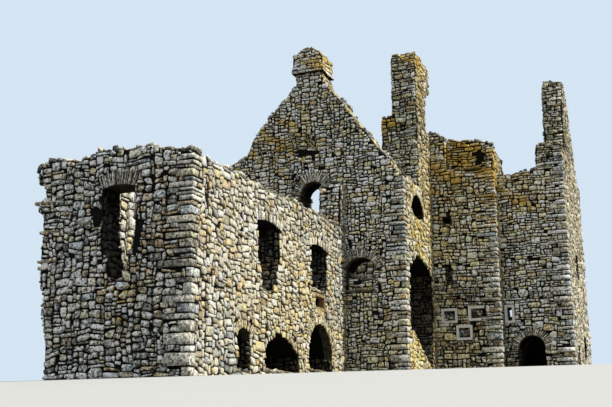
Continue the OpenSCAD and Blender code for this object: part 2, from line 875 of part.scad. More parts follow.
module block_front_wall() {
    color([0.45, 0.44, 0.4]) difference() {
        across(block_y, tower_t) difference() {
            polygon(concat([[plan_w, 0], [turret_x2, 0]],
                broken([turret_x2, block_head], [right_x - step_left, block_head + step_rise], 4, ruin / 2),
                [[right_x - step_right, shoulder_h], [plan_w, shoulder_h]]));
            cellar_arch_shape();
        }
        across(block_y - past, ring_d + past)
            arch_seat(turret_x2 + cellar_arch_x, cellar_arch_w, cellar_arch_crown, cellar_rise);
        slit_across(slit_x, block_y, tower_t, slit_z, slit_w, slit_h, slit_splay);
        across(block_y - past, margin_d + past) slit_band();
    }
}

module slit_band() {
    frame_band(slit_x - slit_w / 2, slit_z, slit_w, slit_h, margin_w);
}

module slit_margin() {
    color([0.7, 0.66, 0.56]) across(block_y - margin_out, margin_d + margin_out) slit_band();
}

module cellar_arch_ring() {
    color([0.5, 0.48, 0.42])
        ring_across(block_y, turret_x2 + cellar_arch_x, cellar_arch_w, cellar_arch_crown, cellar_rise);
}

// Broken front edge of the right gable: distance behind the block's inner face, and height over the shoulder
gable_step = [[350, 100], [600, 1900]];
// Its top: distances behind the inner face, and drops from the highest point
gable_crest = [[950, 300], [1900, 0]];
gable_fall = [2600, 900];
// How far the low window's far side stands off the back wall
low_window_off = 900;
// Its openings: distance behind the inner face, sill, width and height
gable_door = [200, 800, 1000, 1770];
gable_high_window = [1900, 6400, 1500, 1330];
low_window_w = 1500;
gable_low_window = [back_y - block_in_y - low_window_off - low_window_w, 1950, low_window_w, 1350];

// Over the shoulder its inside is set back by this much
gable_thinned = 260;

module right_gable_wall() {
    color([0.75, 0.7, 0.56]) difference() {
        along(right_x, tower_t) right_gable_shape();
        translate([right_x - past, block_in_y - past, shoulder_h])
            cube([gable_thinned + past, back_y - block_in_y + 2 * past, right_gable_top - shoulder_h + past]);
    }
}

module right_gable_shape() {
    difference() {
        polygon(concat(
            [[back_y, 0], [block_in_y, 0], [block_in_y, shoulder_h]],
            [for (p = gable_step) [block_in_y + p[0], shoulder_h + p[1]]],
            [for (p = gable_crest) [block_in_y + p[0], right_gable_top - p[1]]],
            broken([block_in_y + gable_fall[0], right_gable_top - gable_fall[1]], [back_y, far_h], 6)));
        for (w = [gable_door, gable_low_window, gable_high_window])
            translate([block_in_y + w[0], w[1]]) square([w[2], w[3]]);
    }
}

// Puts the plan's centre at the origin
module site() {
    translate([-plan_w / 2, -plan_len / 2, 0]) children();
}

site() wing_end_wall();
site() wing_end_lintel();
site() wing_long_wall_ground();
site() wing_long_wall_upper();
site() wing_stub();
site() wing_left_wall();
site() wing_vault();
site() wing_arch_ring();
site() wing_door_ring();
site() small_window_margin();
site() gable_wall();
site() gable_window_ring();
site() hall_window_ring();
site() hall_window_blocking();
site() roof_drip_course();
site() gable_chimney();
site() gable_chimney_head();
site() side_wall_ground();
site() side_wall_upper();
site() side_chimney();
site() side_chimney_head();
site() side_chimney_flue();
site() tower_left_wall();
site() tower_back_wall();
site() left_vault();
site() back_vault();
site() turret_front_wall();
site() turret_left_wall();
site() turret_right_wall();
site() turret_back_wall();
site() panel_frame_left();
site() panel_frame_right();
site() panel_frame_low();
site() block_front_wall();
site() cellar_arch_ring();
site() slit_margin();
site() right_gable_wall();
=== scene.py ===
# A ruined castle keep: rubble laid stone by stone over the fixed frame, with dressed margins,
# arch stones and quoins. Metres, +Z up; the wing's front faces -Y and its long wall faces +X.
import math

import bpy
import numpy as np
from mathutils import Euler, Matrix, Vector
from mathutils.bvhtree import BVHTree


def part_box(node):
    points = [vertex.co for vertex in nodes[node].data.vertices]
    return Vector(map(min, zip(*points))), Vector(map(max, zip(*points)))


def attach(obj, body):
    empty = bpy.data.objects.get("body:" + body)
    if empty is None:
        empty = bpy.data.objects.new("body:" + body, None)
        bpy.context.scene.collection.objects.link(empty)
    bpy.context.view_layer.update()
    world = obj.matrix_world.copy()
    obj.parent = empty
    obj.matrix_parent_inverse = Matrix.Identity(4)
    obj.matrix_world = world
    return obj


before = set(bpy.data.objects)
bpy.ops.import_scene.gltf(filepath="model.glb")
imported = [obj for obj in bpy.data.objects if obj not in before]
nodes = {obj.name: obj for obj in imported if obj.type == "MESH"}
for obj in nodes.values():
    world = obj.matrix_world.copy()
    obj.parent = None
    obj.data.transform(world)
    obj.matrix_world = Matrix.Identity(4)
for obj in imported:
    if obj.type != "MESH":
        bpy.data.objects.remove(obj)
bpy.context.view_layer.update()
rng = np.random.default_rng(1540)


def put(name, data):
    """A new object of the scene."""
    thing = bpy.data.objects.new(name, data)
    bpy.context.scene.collection.objects.link(thing)
    return thing


# Materials

ROUGHNESS = 0.92
SHINE = 0.2
# Patterns: the noise's scale, detail and roughness
BLOTCHES = (9.0, 4.0, 0.65)
SPECKLES = (22.0, 4.0, 0.68)
CRUST = (7.0, 5.0, 0.7)
SLOW_WEATHER = (0.6, 3.0, 0.6)
LICHEN_PATCHES = (8.0, 6.0, 0.75)
PITS = (15.0, 4.0, 0.7)
LUMPS = (6.0, 6.0, 0.7)
GRIT = (30.0, 4.0, 0.6)
# Where the noise is a pattern's edge
CRUST_EDGE = (0.54, 0.58)
LICHEN_EDGE = (0.70, 0.73)
PIT_EDGE = (0.37, 0.43)
LUMP_EDGE = (0.35, 0.7)
# Factors on the colour: the noise's range and the factor's
BLOTCH_TONES = (0.38, 0.62, 0.04, 2.1)
SPECKLE_TONES = (0.34, 0.64, 0.35, 1.6)
WEATHER_TONES = (0.35, 0.65, 0.7, 1.42)
GRIT_TONES = (0.3, 0.7, 0.5, 1.2)
# How strongly each pattern shows
CRUST_SHARE = 0.8
SPECKLE_SHARE = 0.85
LICHEN_SHARE = 0.9
PIT_SHARE = 0.9
PIT_TONE = 0.05
GRIT_SHARE = 0.7
# Bumps: the shares of the coarse and the fine pattern, and their height in metres
STONE_BUMPS = (0.6, 0.4, 0.03)
CORE_BUMPS = (0.6, 0.3, 0.05)
# No stone is paler than this, on little mottled walls, which mostly face the key light, and on fully mottled
# ones: lower in sun than in shade, lit and shaded copies
BRIGHTEST = (0.75, 0.98)
MOTTLING = (0.4, 1.0)
PALE_LICHEN = (0.80, 0.785, 0.66)
ORANGE_LICHEN = [(0.40, (0.231, 0.133, 0.014)), (0.50, (0.66, 0.38, 0.04)), (0.60, (1.0, 0.66, 0.05))]


def new_material(name):
    material = bpy.data.materials.new(name)
    material.use_nodes = True
    tree = material.node_tree
    shader = tree.nodes["Principled BSDF"]
    shader.inputs["Roughness"].default_value = ROUGHNESS
    shader.inputs["Specular IOR Level"].default_value = SHINE
    return material, tree, shader


def fill(tree, node, inputs):
    """Puts numbers, colours or links into a node's inputs."""
    for key, value in inputs.items():
        if isinstance(value, bpy.types.NodeSocket):
            tree.links.new(value, node.inputs[key])
        else:
            node.inputs[key].default_value = (*value, 1.0) if isinstance(value, tuple) else value


def noise(tree, place, scale, detail, roughness):
    node = tree.nodes.new("ShaderNodeTexNoise")
    fill(tree, node, {"Vector": place, "Scale": scale, "Detail": detail, "Roughness": roughness})
    return node.outputs["Fac"]


def ramp(tree, value, stops):
    """A colour band: stops are (place, colour)."""
    node = tree.nodes.new("ShaderNodeValToRGB")
    band = node.color_ramp
    while len(band.elements) < len(stops):
        band.elements.new(0.5)
    for element, (place, colour) in zip(band.elements, stops):
        element.position = place
        element.color = (*colour, 1.0)
    tree.links.new(value, node.inputs["Fac"])
    return node.outputs["Color"]


def edge(tree, value, start, end, low=0.0):
    """A grey that goes from low to white between start and end."""
    return ramp(tree, value, [(start, (low, low, low)), (end, (1.0, 1.0, 1.0))])


def mix(tree, kind, share, first, second):
    node = tree.nodes.new("ShaderNodeMix")
    node.data_type = "RGBA"
    node.blend_type = kind
    fill(tree, node, {0: share, 6: first, 7: second})
    return node.outputs[2]


def math_node(tree, kind, first, second):
    node = tree.nodes.new("ShaderNodeMath")
    node.operation = kind
    node.use_clamp = True
    fill(tree, node, {0: first, 1: second})
    return node.outputs[0]


def product(tree, first, second):
    return math_node(tree, "MULTIPLY", first, second)


def stretch(tree, value, start, end, low, high):
    """A number that runs from low to high while value runs from start to end."""
    node = tree.nodes.new("ShaderNodeMapRange")
    fill(tree, node, {"Value": value, "From Min": start, "From Max": end, "To Min": low, "To Max": high})
    return node.outputs["Result"]


def attribute(tree, name):
    node = tree.nodes.new("ShaderNodeAttribute")
    node.attribute_name = name
    return node.outputs["Color"]


def roughen(tree, shader, coarse, fine, coarse_share, fine_share, rise):
    height = math_node(tree, "ADD", product(tree, coarse, coarse_share), product(tree, fine, fine_share))
    node = tree.nodes.new("ShaderNodeBump")
    fill(tree, node, {"Strength": 1.0, "Distance": rise, "Height": height})
    tree.links.new(node.outputs["Normal"], shader.inputs["Normal"])


def stone_material(name):
    """Laid stone: each stone's own colour, blotched and pitted, with pale crust and orange lichen, darkened
    by painted shade in its joints, sheltered spots and openings.
    """
    material, tree, shader = new_material(name)
    place = tree.nodes.new("ShaderNodeTexCoord").outputs["Object"]
    # The weather attribute holds painted shade in the joints, sheltered spots and openings, then lichen
    # growth, then mottling
    parts = tree.nodes.new("ShaderNodeSeparateColor")
    tree.links.new(attribute(tree, "weather"), parts.inputs[0])
    painted_shade, grown, mottle = parts.outputs
    blotch = noise(tree, place, *BLOTCHES)
    speckle = noise(tree, place, *SPECKLES)
    crust = edge(tree, noise(tree, place, *CRUST), *CRUST_EDGE)
    crust = product(tree, crust, product(tree, mottle, CRUST_SHARE))
    colour = mix(tree, "MIX", crust, attribute(tree, "stone_colour"), PALE_LICHEN)
    colour = mix(tree, "MULTIPLY", mottle, colour, stretch(tree, blotch, *BLOTCH_TONES))
    colour = mix(tree, "MULTIPLY", SPECKLE_SHARE, colour, stretch(tree, speckle, *SPECKLE_TONES))
    weather = stretch(tree, noise(tree, place, *SLOW_WEATHER), *WEATHER_TONES)
    colour = mix(tree, "MULTIPLY", mottle, colour, weather)
    patches = math_node(tree, "ADD", noise(tree, place, *LICHEN_PATCHES), grown)
    cover = product(tree, edge(tree, patches, *LICHEN_EDGE), LICHEN_SHARE)
    colour = mix(tree, "MIX", cover, colour, ramp(tree, speckle, ORANGE_LICHEN))
    pits = edge(tree, noise(tree, place, *PITS), *PIT_EDGE, PIT_TONE)
    colour = mix(tree, "MULTIPLY", product(tree, mottle, PIT_SHARE), colour, pits)
    # Painted shade: darker deep in the joints, where little sky is seen, and in openings
    colour = mix(tree, "MULTIPLY", 1.0, colour, painted_shade)
    colour = mix(tree, "DARKEN", 1.0, colour, stretch(tree, mottle, *MOTTLING, *BRIGHTEST))
    tree.links.new(colour, shader.inputs["Base Color"])
    roughen(tree, shader, blotch, speckle, *STONE_BUMPS)
    return material


def core_material(name, dark, light):
    """Bare walls, vaults, rings and margins: lumps and grit between two colours."""
    material, tree, shader = new_material(name)
    place = tree.nodes.new("ShaderNodeTexCoord").outputs["Object"]
    lumps = noise(tree, place, *LUMPS)
    grit = noise(tree, place, *GRIT)
    colour = ramp(tree, lumps, list(zip(LUMP_EDGE, (dark, light))))
    colour = mix(tree, "MULTIPLY", GRIT_SHARE, colour, stretch(tree, grit, *GRIT_TONES))
    tree.links.new(colour, shader.inputs["Base Color"])
    roughen(tree, shader, lumps, grit, *CORE_BUMPS)
    return material


rubble_skin = stone_material("weathered_rubble")
# Near black: dark earth and mortar deep in the joints, and painted shade there and on bare hollows
shaded_wall_core = core_material("shaded_wall_core", (0.001, 0.001, 0.001), (0.009, 0.008, 0.006))
vault_core = core_material("vault_rubble", (0.03, 0.028, 0.024), (0.16, 0.145, 0.12))
ring_core = core_material("arch_stone", (0.02, 0.018, 0.014), (0.16, 0.135, 0.10))
dressed_core = core_material("dressed_frame", (0.88, 0.85, 0.76), (1.0, 0.98, 0.92))
ochre_core = core_material("ochre_margin", (0.22, 0.15, 0.06), (0.56, 0.44, 0.24))


# Colours of the stones: each palette's colours with their shares

SHADED = [((0.38, 0.39, 0.35), 5), ((0.31, 0.34, 0.34), 3), ((0.15, 0.15, 0.135), 3), ((0.47, 0.45, 0.38), 4),
          ((0.31, 0.245, 0.16), 2), ((0.42, 0.40, 0.27), 3), ((0.62, 0.60, 0.51), 3)]
TOWER = [((0.38, 0.38, 0.29), 5), ((0.31, 0.33, 0.315), 3), ((0.14, 0.14, 0.11), 3), ((0.48, 0.455, 0.34), 4),
         ((0.33, 0.25, 0.14), 3), ((0.43, 0.385, 0.21), 3), ((0.64, 0.61, 0.47), 3)]
# SUNNY and GOLD go on faces towards the key light: their warmer cream and yellow is partly painted sunlight
# on the same stone as SHADED and TOWER
SUNNY = [((0.60, 0.56, 0.41), 6), ((0.55, 0.53, 0.43), 5), ((0.72, 0.68, 0.53), 4), ((0.42, 0.40, 0.33), 3),
         ((0.58, 0.46, 0.26), 2), ((0.45, 0.36, 0.24), 2), ((0.50, 0.50, 0.47), 2)]
GOLD = [((0.66, 0.56, 0.31), 4), ((0.57, 0.50, 0.31), 4), ((0.70, 0.64, 0.46), 3), ((0.58, 0.42, 0.16), 3),
        ((0.42, 0.35, 0.21), 2)]
OCHRE = [((0.58, 0.46, 0.24), 4), ((0.66, 0.54, 0.30), 4), ((0.46, 0.37, 0.22), 3), ((0.64, 0.58, 0.42), 3)]
BLUE = [((0.30, 0.33, 0.335), 4), ((0.42, 0.44, 0.43), 4), ((0.52, 0.53, 0.48), 2)]
BROWN = [((0.28, 0.21, 0.13), 4), ((0.40, 0.31, 0.19), 4), ((0.52, 0.44, 0.31), 2)]
PALE = [((0.66, 0.63, 0.52), 4), ((0.74, 0.71, 0.58), 4), ((0.54, 0.52, 0.43), 3)]
SLABS = [((0.28, 0.255, 0.21), 4), ((0.42, 0.40, 0.335), 4), ((0.34, 0.275, 0.18), 3),
         ((0.54, 0.51, 0.42), 3)]
QUOIN = [(colour, share) for colour, share in SHADED if max(colour) > 0.15] + [((0.36, 0.34, 0.28), 4)]
# How far stones of one colour differ in tone and in hue
TONE = (0.6, 1.42)
HUE = (0.975, 1.025)
DARKEST = 0.02
PALEST = 0.9
LIFTED_PALEST = 0.98

# Where a wall is built of other stone: middle, reach, share and its colours
ZONES = [
    ((-1.8, -4.0, 2.4), 4.0, 0.75, OCHRE), ((-1.8, -10.0, 1.6), 3.5, 0.55, OCHRE),
    ((-1.8, -12.7, 1.2), 1.3, 0.9, BLUE), ((0.8, 0.6, 6.0), 3.6, 0.75, BLUE),
    ((-3.3, 0.6, 8.4), 1.6, 0.6, BROWN), ((1.3, 3.0, 4.0), 3.0, 0.6, OCHRE),
    ((3.0, 6.3, 4.0), 2.5, 0.4, BROWN), ((8.3, 9.5, 6.0), 4.0, 0.3, PALE),
    ((-1.8, -9.0, 6.5), 6.0, 0.35, PALE), ((6.5, 7.2, 5.0), 2.5, 0.5, BLUE),
    ((-2.9, -15.6, 4.6), 2.0, 0.5, BROWN), ((-1.0, 0.9, 6.0), 0.5, 0.9, PALE),
]

# Where stones are darker, paler or warmer: middle, reach and factor
TONES = [
    ((0.2, 3.65, 14.5), 3.2, (0.42, 0.44, 0.43)), ((6.0, 7.2, 9.5), 3.0, (1.3, 1.28, 1.25)),
    ((7.7, 8.8, 14.5), 3.0, (0.42, 0.42, 0.38)), ((1.3, 3.0, 7.5), 2.6, (1.5, 1.35, 1.0)),
    ((8.3, 10.5, 8.0), 5.0, (1.02, 0.96, 0.84)), ((3.0, 6.25, 9.0), 2.5, (1.25, 1.15, 1.0)),
    ((-1.8, -7.0, 2.0), 6.0, (1.06, 1.0, 0.86)), ((1.3, 3.0, 2.5), 2.5, (1.8, 1.55, 1.05)),
    ((3.0, 6.3, 1.6), 2.5, (0.62, 0.62, 0.58)), ((6.2, 7.2, 1.8), 2.5, (0.6, 0.6, 0.55)),
    ((-2.0, 0.6, 12.0), 2.8, (1.3, 1.3, 1.25)), ((-3.3, 0.6, 17.4), 1.3, (1.1, 1.05, 0.9)),
]

# Where orange lichen grows: middle, reach and strength
LICHEN = [
    ((-6.6, 0.6, 12.6), 2.0, 0.09), ((-4.4, 0.6, 13.4), 1.4, 0.09), ((-3.2, 0.6, 17.3), 1.1, 0.07),
    ((-2.6, 0.5, 17.3), 0.7, 0.16), ((1.0, 4.5, 17.9), 1.0, 0.22), ((-0.4, 3.6, 14.3), 0.6, 0.24),
    ((3.2, 6.6, 13.0), 1.3, 0.22), ((2.0, 6.25, 11.4), 1.2, 0.12), ((1.3, 2.5, 4.0), 1.6, 0.14),
    ((1.3, 3.2, 8.0), 1.2, 0.14), ((-1.8, -0.8, 9.6), 1.0, 0.08), ((-4.6, -15.6, 3.0), 0.9, 0.12),
    ((-4.5, -15.6, 1.6), 0.7, 0.10), ((6.0, 7.2, 10.6), 1.3, 0.09), ((4.7, 6.3, 9.5), 1.4, 0.08),
    ((4.7, 6.6, 11.8), 1.0, 0.12), ((-3.9, 0.6, 9.6), 0.5, 0.14), ((-1.5, 0.6, 5.0), 0.8, 0.06),
]
# Its growth elsewhere: on the tower over and under HIGH_UP, and on the wing; its waves; the most of it
GROWTH_HIGH, GROWTH_LOW, GROWTH_WING = 0.09, 0.07, 0.05
HIGH_UP = 8
WAVE, WAVE_WAYS = 0.05, np.array([3.1, 2.3, 4.7])
GROWTH_MOST = 0.4


def nearness(points, middle, reach):
    """1 at the middle of a zone, falling off to nothing beyond its reach."""
    away = np.linalg.norm(points - np.array(middle), axis=1) / reach
    return np.exp(-away ** 2)


def pick_colours(palette, count):
    shares = np.array([share for _, share in palette], float)
    which = rng.choice(len(palette), count, p=shares / shares.sum())
    base = np.array([colour for colour, _ in palette])[which]
    tone = rng.uniform(*TONE, (count, 1)) * rng.uniform(*HUE, (count, 3))
    return np.clip(base * tone, DARKEST, PALEST)


def zoned_colours(palette, points):
    """A colour for each stone from its wall's palette, or from that of a zone it lies in."""
    colours = pick_colours(palette, len(points))
    for middle, reach, share, others in ZONES:
        swapped = rng.random(len(points)) < share * nearness(points, middle, reach)
        colours[swapped] = pick_colours(others, int(swapped.sum()))
    for middle, reach, factor in TONES:
        colours *= 1 + (np.array(factor) - 1) * nearness(points, middle, reach)[:, None]
    return colours


def growth(points):
    """How much orange lichen grows on each stone."""
    on_tower = np.where(points[:, 2] > HIGH_UP, GROWTH_HIGH, GROWTH_LOW)
    total = np.where(points[:, 1] > 0, on_tower, GROWTH_WING)
    for middle, reach, strength in LICHEN:
        total += strength * nearness(points, middle, reach)
    return np.clip(total + WAVE * np.sin(points @ WAVE_WAYS), 0, GROWTH_MOST)


class Heap:
    """Stones gathered for one piece, and made one joined mesh."""

    def __init__(self):
        self.points, self.faces, self.centres, self.colours, self.weather = [], [], [], [], []
        self.total = 0

    def add(self, points, faces, colours, painted_shade, mottle):
        """points is (stones, m, 3); faces index one stone's m points; the painted shade factor is (m,) or
        (stones, m).
        """
        count, m, _ = points.shape
        offsets = (np.arange(count) * m + self.total)[:, None, None]
        for face in faces:
            self.faces.append((offsets + face[None]).reshape(-1, face.shape[1]))
        self.points.append(points.reshape(-1, 3))
        self.centres.append(np.repeat(points.mean(axis=1), m, axis=0))
        self.colours.append(np.repeat(colours, m, axis=0))
        painted_shade = np.broadcast_to(painted_shade, (count, m)).reshape(-1)
        self.weather.append(np.column_stack([painted_shade, np.zeros_like(painted_shade), np.full_like(painted_shade, mottle)]))
        self.total += count * m

    def piece(self, name, slot):
        weather = np.concatenate(self.weather)
        weather[:, 1] = growth(np.concatenate(self.centres))
        points = np.concatenate(self.points)
        points[:, 2] = np.maximum(points[:, 2], 0.0)
        mesh = bpy.data.meshes.new(name)
        mesh.vertices.add(len(points))
        mesh.vertices.foreach_set("co", np.ascontiguousarray(points, np.float32).ravel())
        loops = np.concatenate([f.ravel() for f in self.faces])
        sizes = np.concatenate([np.full(len(f), f.shape[1]) for f in self.faces])
        starts = np.concatenate([[0], np.cumsum(sizes)[:-1]])
        mesh.loops.add(len(loops))
        mesh.loops.foreach_set("vertex_index", loops.astype(np.int32))
        mesh.polygons.add(len(sizes))
        mesh.polygons.foreach_set("loop_start", starts.astype(np.int32))
        mesh.update(calc_edges=True)
        mesh.validate()
        for label, values in (("stone_colour", np.concatenate(self.colours)), ("weather", weather)):
            paint = mesh.attributes.new(label, "FLOAT_COLOR", "POINT")
            rows = np.column_stack([values, np.ones(len(points))]).astype(np.float32)
            paint.data.foreach_set("color", rows.ravel())
        mesh.materials.append(rubble_skin)
        piece = put(name, mesh)
        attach(piece, "root")


# Pillow-shaped stones: eight-sided rings from the back to the front, and a crown point

RING = 8
SIDES = np.array([[i, (i + 1) % RING, RING + (i + 1) % RING, RING + i] for i in range(RING)])
# How far a stone's back is sunk into its wall, and its face at least stands out
SUNK = 0.05
LEAST_OUT = 0.012
LEAST_HALF = 0.02
# Cut corners: the least cut, how flat a cut is, and how rare large cuts are
LEAST_CUT, CUT_RISE, CUT_RARITY = 0.1, 0.75, 2.2
RAGGED = 0.07
LEAN = 0.07
# The face is drawn in by a share of the stone, within limits in metres
INSET, INSET_LIMITS = (0.08, 0.22), (0.005, 0.02)
# The face's slopes along and up the wall, its shoulder's height, its roughness and its crown
SLOPE_ALONG, SLOPE_UP = (-0.2, 0.2), (-0.35, 0.2)
SHOULDER = 0.55
FACE_ROUGH = 0.012
CROWN = 0.015
# Painted shade on a stone at its back, deep in the joints with some dirt there too, round its face, and at
# its crown a small painted highlight; and on a plain stone round its face
BACK_PAINTED_SHADE, FACE_PAINTED_SHADE, CROWN_PAINTED_HIGHLIGHT, PLAIN_PAINTED_SHADE = 0.02, 1.0, 1.1, 0.85


def pillow_faces(rings):
    sides = np.concatenate([SIDES + RING * k for k in range(rings - 1)])
    last = RING * (rings - 1)
    front = np.array([[last + i, last + (i + 1) % RING, last + RING] for i in range(RING)])
    back = np.arange(RING)[::-1][None]
    return [sides, front, back]


def outline(half_u, half_v, broken):
    """Eight corner points of each stone about its middle, anticlockwise: (stones, 8) in u and in v."""
    count = len(half_u)
    hu, hv = half_u[:, None], half_v[:, None]
    small = np.minimum(hu, hv)
    cu = (LEAST_CUT + broken * rng.random((count, 4)) ** CUT_RARITY) * small
    cv = (LEAST_CUT + CUT_RISE * broken * rng.random((count, 4)) ** CUT_RARITY) * small
    u = np.concatenate([-hu, -hu + cu[:, :1], hu - cu[:, 1:2], hu,
                        hu, hu - cu[:, 2:3], -hu + cu[:, 3:4], -hu], axis=1)
    v = np.concatenate([-hv + cv[:, :1], -hv, -hv, -hv + cv[:, 1:2],
                        hv - cv[:, 2:3], hv, hv, hv - cv[:, 3:4]], axis=1)
    u = u + rng.uniform(-RAGGED, RAGGED, u.shape) * small
    v = v + rng.uniform(-RAGGED, RAGGED, v.shape) * small
    turn = rng.normal(0, LEAN, (count, 1)) * np.minimum(hv / hu, 1)
    return u - turn * v, v + turn * u


def pillows(rects, depth, look):
    """Stones as (u, v, height over the wall) from (u0, u1, v0, v1) rows, and the painted shade on their
    points.
    """
    count = len(rects)
    mid_u, mid_v = (rects[:, 0] + rects[:, 1]) / 2, (rects[:, 2] + rects[:, 3]) / 2
    half_u = np.maximum((rects[:, 1] - rects[:, 0]) / 2 - rng.uniform(*look["joint"], count), LEAST_HALF)
    half_v = np.maximum((rects[:, 3] - rects[:, 2]) / 2 - rng.uniform(*look["joint"], count), LEAST_HALF)
    u, v = outline(half_u, half_v, look["broken"])
    small = np.minimum(half_u, half_v)[:, None]
    inset = np.clip(rng.uniform(*INSET, (count, 1)) * small, *INSET_LIMITS)
    face_u, face_v = u * (1 - inset / half_u[:, None]), v * (1 - inset / half_v[:, None])
    level = depth[:, None]
    slope_u = rng.uniform(*SLOPE_ALONG, (count, 1))
    slope_v = rng.uniform(*SLOPE_UP, (count, 1))
    rings, painted_shade = [(u, v, np.full_like(u, -SUNK))], [BACK_PAINTED_SHADE]
    if look["fine"]:
        rings.append((u, v, level * SHOULDER + np.zeros_like(u)))
        rough = rng.uniform(-FACE_ROUGH, FACE_ROUGH, u.shape)
        painted_shade += [look["side_painted_shade"], FACE_PAINTED_SHADE]
    else:
        rough = np.zeros_like(u)
        painted_shade += [PLAIN_PAINTED_SHADE]
    rings.append((face_u, face_v, np.maximum(level + rough + slope_u * face_u + slope_v * face_v, LEAST_OUT)))
    parts = [np.stack([ru + mid_u[:, None], rv + mid_v[:, None], rh], axis=2) for ru, rv, rh in rings]
    crown = np.stack([mid_u, mid_v, depth + rng.uniform(0.0, CROWN, count)], axis=1)[:, None, :]
    painted_shade = np.append(np.repeat(painted_shade, RING), CROWN_PAINTED_HIGHLIGHT)
    return np.concatenate(parts + [crown], axis=1), pillow_faces(len(rings)), painted_shade


# Blocks with chamfered edges: three points at each corner, one in the face of each axis

CHAMFER_SPREAD = (0.6, 1.4)


def block_point(signs, axis):
    """The index of the point at a corner that lies in the face of an axis."""
    return 3 * (2 * (signs[0] + 1) + (signs[1] + 1) + (signs[2] + 1) // 2) + axis


def block_faces():
    """Rings of four for the block's sides and edges, and of three for its corners."""
    sides, edges = [], []
    for axis in range(3):
        b, c = (axis + 1) % 3, (axis + 2) % 3
        for side in (-1, 1):
            corners = [np.roll((side, sb, sc), axis) for sb, sc in ((-1, -1), (1, -1), (1, 1), (-1, 1))]
            sides.append([block_point(signs, axis) for signs in corners][::side])
        for sb, sc in ((-1, -1), (-1, 1), (1, -1), (1, 1)):
            low, high = np.roll((-1, sb, sc), axis), np.roll((1, sb, sc), axis)
            ring = [block_point(low, b), block_point(high, b), block_point(high, c), block_point(low, c)]
            edges.append(ring[::-sb * sc])
    tris = [[block_point(signs, axis) for axis in range(3)][::math.prod(signs)] for signs in CORNERS]
    return [np.array(sides + edges), np.array(tris)]


CORNERS = [(x, y, z) for x in (-1, 1) for y in (-1, 1) for z in (-1, 1)]
BLOCK_SIGNS = np.repeat(CORNERS, 3, axis=0)
BLOCK_AXIS = np.tile([0, 1, 2], len(CORNERS))
BLOCK_FACES = block_faces()


def blocks(middles, halves, chamfer, rough):
    """Blocks square to the axes: middles and halves are (n, 3)."""
    middles, halves, points = np.array(middles), np.array(halves), len(BLOCK_AXIS)
    cut = chamfer * rng.uniform(*CHAMFER_SPREAD, (len(middles), points, 1)) * np.ones((1, 1, 3))
    cut[:, np.arange(points), BLOCK_AXIS] = 0
    corners = middles[:, None, :] + BLOCK_SIGNS[None] * (halves[:, None, :] - cut)
    return corners + rng.uniform(-rough, rough, corners.shape), BLOCK_FACES


# Faces of the frame

# Size of a cell of the maps of bare faces
CELL = 0.06
# Smaller triangles and planes, in square metres, are passed over
LEAST_TRIANGLE = 1e-5
LEAST_PLANE = 0.12
# A plane is nearly level past LEVEL, and looks along an axis past FACING
LEVEL = 0.75
FACING = 0.5
# A spot is covered where another piece lies this near over it
NEAR = 0.12
RAY_START = 0.012
RAY_END = 60.0


def triangles(name):
    mesh = nodes[name].data
    mesh.calc_loop_triangles()
    co = np.zeros(len(mesh.vertices) * 3)
    mesh.vertices.foreach_get("co", co)
    tri = np.zeros(len(mesh.loop_triangles) * 3, int)
    mesh.loop_triangles.foreach_get("vertices", tri)
    return co.reshape(-1, 3)[tri.reshape(-1, 3)]


soup = {name: triangles(name) for name in nodes}
all_tris = np.concatenate(list(soup.values()))
solid = BVHTree.FromPolygons([Vector(p) for p in all_tris.reshape(-1, 3)],
                             [(3 * i, 3 * i + 1, 3 * i + 2) for i in range(len(all_tris))])


def covered(point, normal):
    """Whether another piece of the frame lies against this spot of a wall."""
    hit, hit_normal, _, distance = solid.ray_cast(point + normal * RAY_START, normal, RAY_END)
    return hit is not None and (distance < NEAR or hit_normal.dot(normal) > 0)


def planes(names):
    """Groups the triangles of some nodes by plane: normal, and the triangles' corners."""
    tris = np.concatenate([soup[n] for n in names])
    cross = np.cross(tris[:, 1] - tris[:, 0], tris[:, 2] - tris[:, 0])
    area = np.linalg.norm(cross, axis=1) / 2
    keep = area > LEAST_TRIANGLE
    tris, cross, area = tris[keep], cross[keep], area[keep]
    normal = cross / (2 * area[:, None])
    offset = (tris.mean(axis=1) * normal).sum(axis=1)
    keys = {}
    for i, (n, d) in enumerate(zip(normal.round(2), offset.round(2))):
        keys.setdefault((*n, d), []).append(i)
    for group in keys.values():
        if area[group].sum() > LEAST_PLANE:
            n = (normal[group] * area[group][:, None]).sum(axis=0)
            yield n / np.linalg.norm(n), tris[group]


def axes_of(normal, tris):
    """Directions along and up a plane."""
    if abs(normal[2]) < LEVEL:
        along = np.cross([0.0, 0.0, 1.0], normal)
    else:
        spread = np.ptp(tris.reshape(-1, 3), axis=0)
        start = np.array([1.0, 0, 0] if spread[0] > spread[1] else [0, 1.0, 0])
        along = start - normal * (start @ normal)
    along /= np.linalg.norm(along)
    return along, np.cross(normal, along)


def fill_mask(u, v, u0, v0, shape):
    """Cells whose middles lie in the triangles: u and v are (n, 3)."""
    mask = np.zeros(shape, bool)
    for a, b in zip(u, v):
        i0, i1 = int((a.min() - u0) / CELL), min(int((a.max() - u0) / CELL) + 2, shape[1])
        j0, j1 = int((b.min() - v0) / CELL), min(int((b.max() - v0) / CELL) + 2, shape[0])
        gu = u0 + (np.arange(i0, i1) + 0.5) * CELL
        gv = (v0 + (np.arange(j0, j1) + 0.5) * CELL)[:, None]
        inside = np.ones((j1 - j0, i1 - i0), bool)
        turn = (a[1] - a[0]) * (b[2] - b[0]) - (a[2] - a[0]) * (b[1] - b[0])
        for p, q in ((0, 1), (1, 2), (2, 0)):
            side = (a[q] - a[p]) * (gv - b[p]) - (b[q] - b[p]) * (gu - a[p])
            inside &= (side * np.sign(turn)) >= -1e-9
        mask[j0:j1, i0:i1] |= inside
    return mask


# Spots of the walls that take no stones of their own

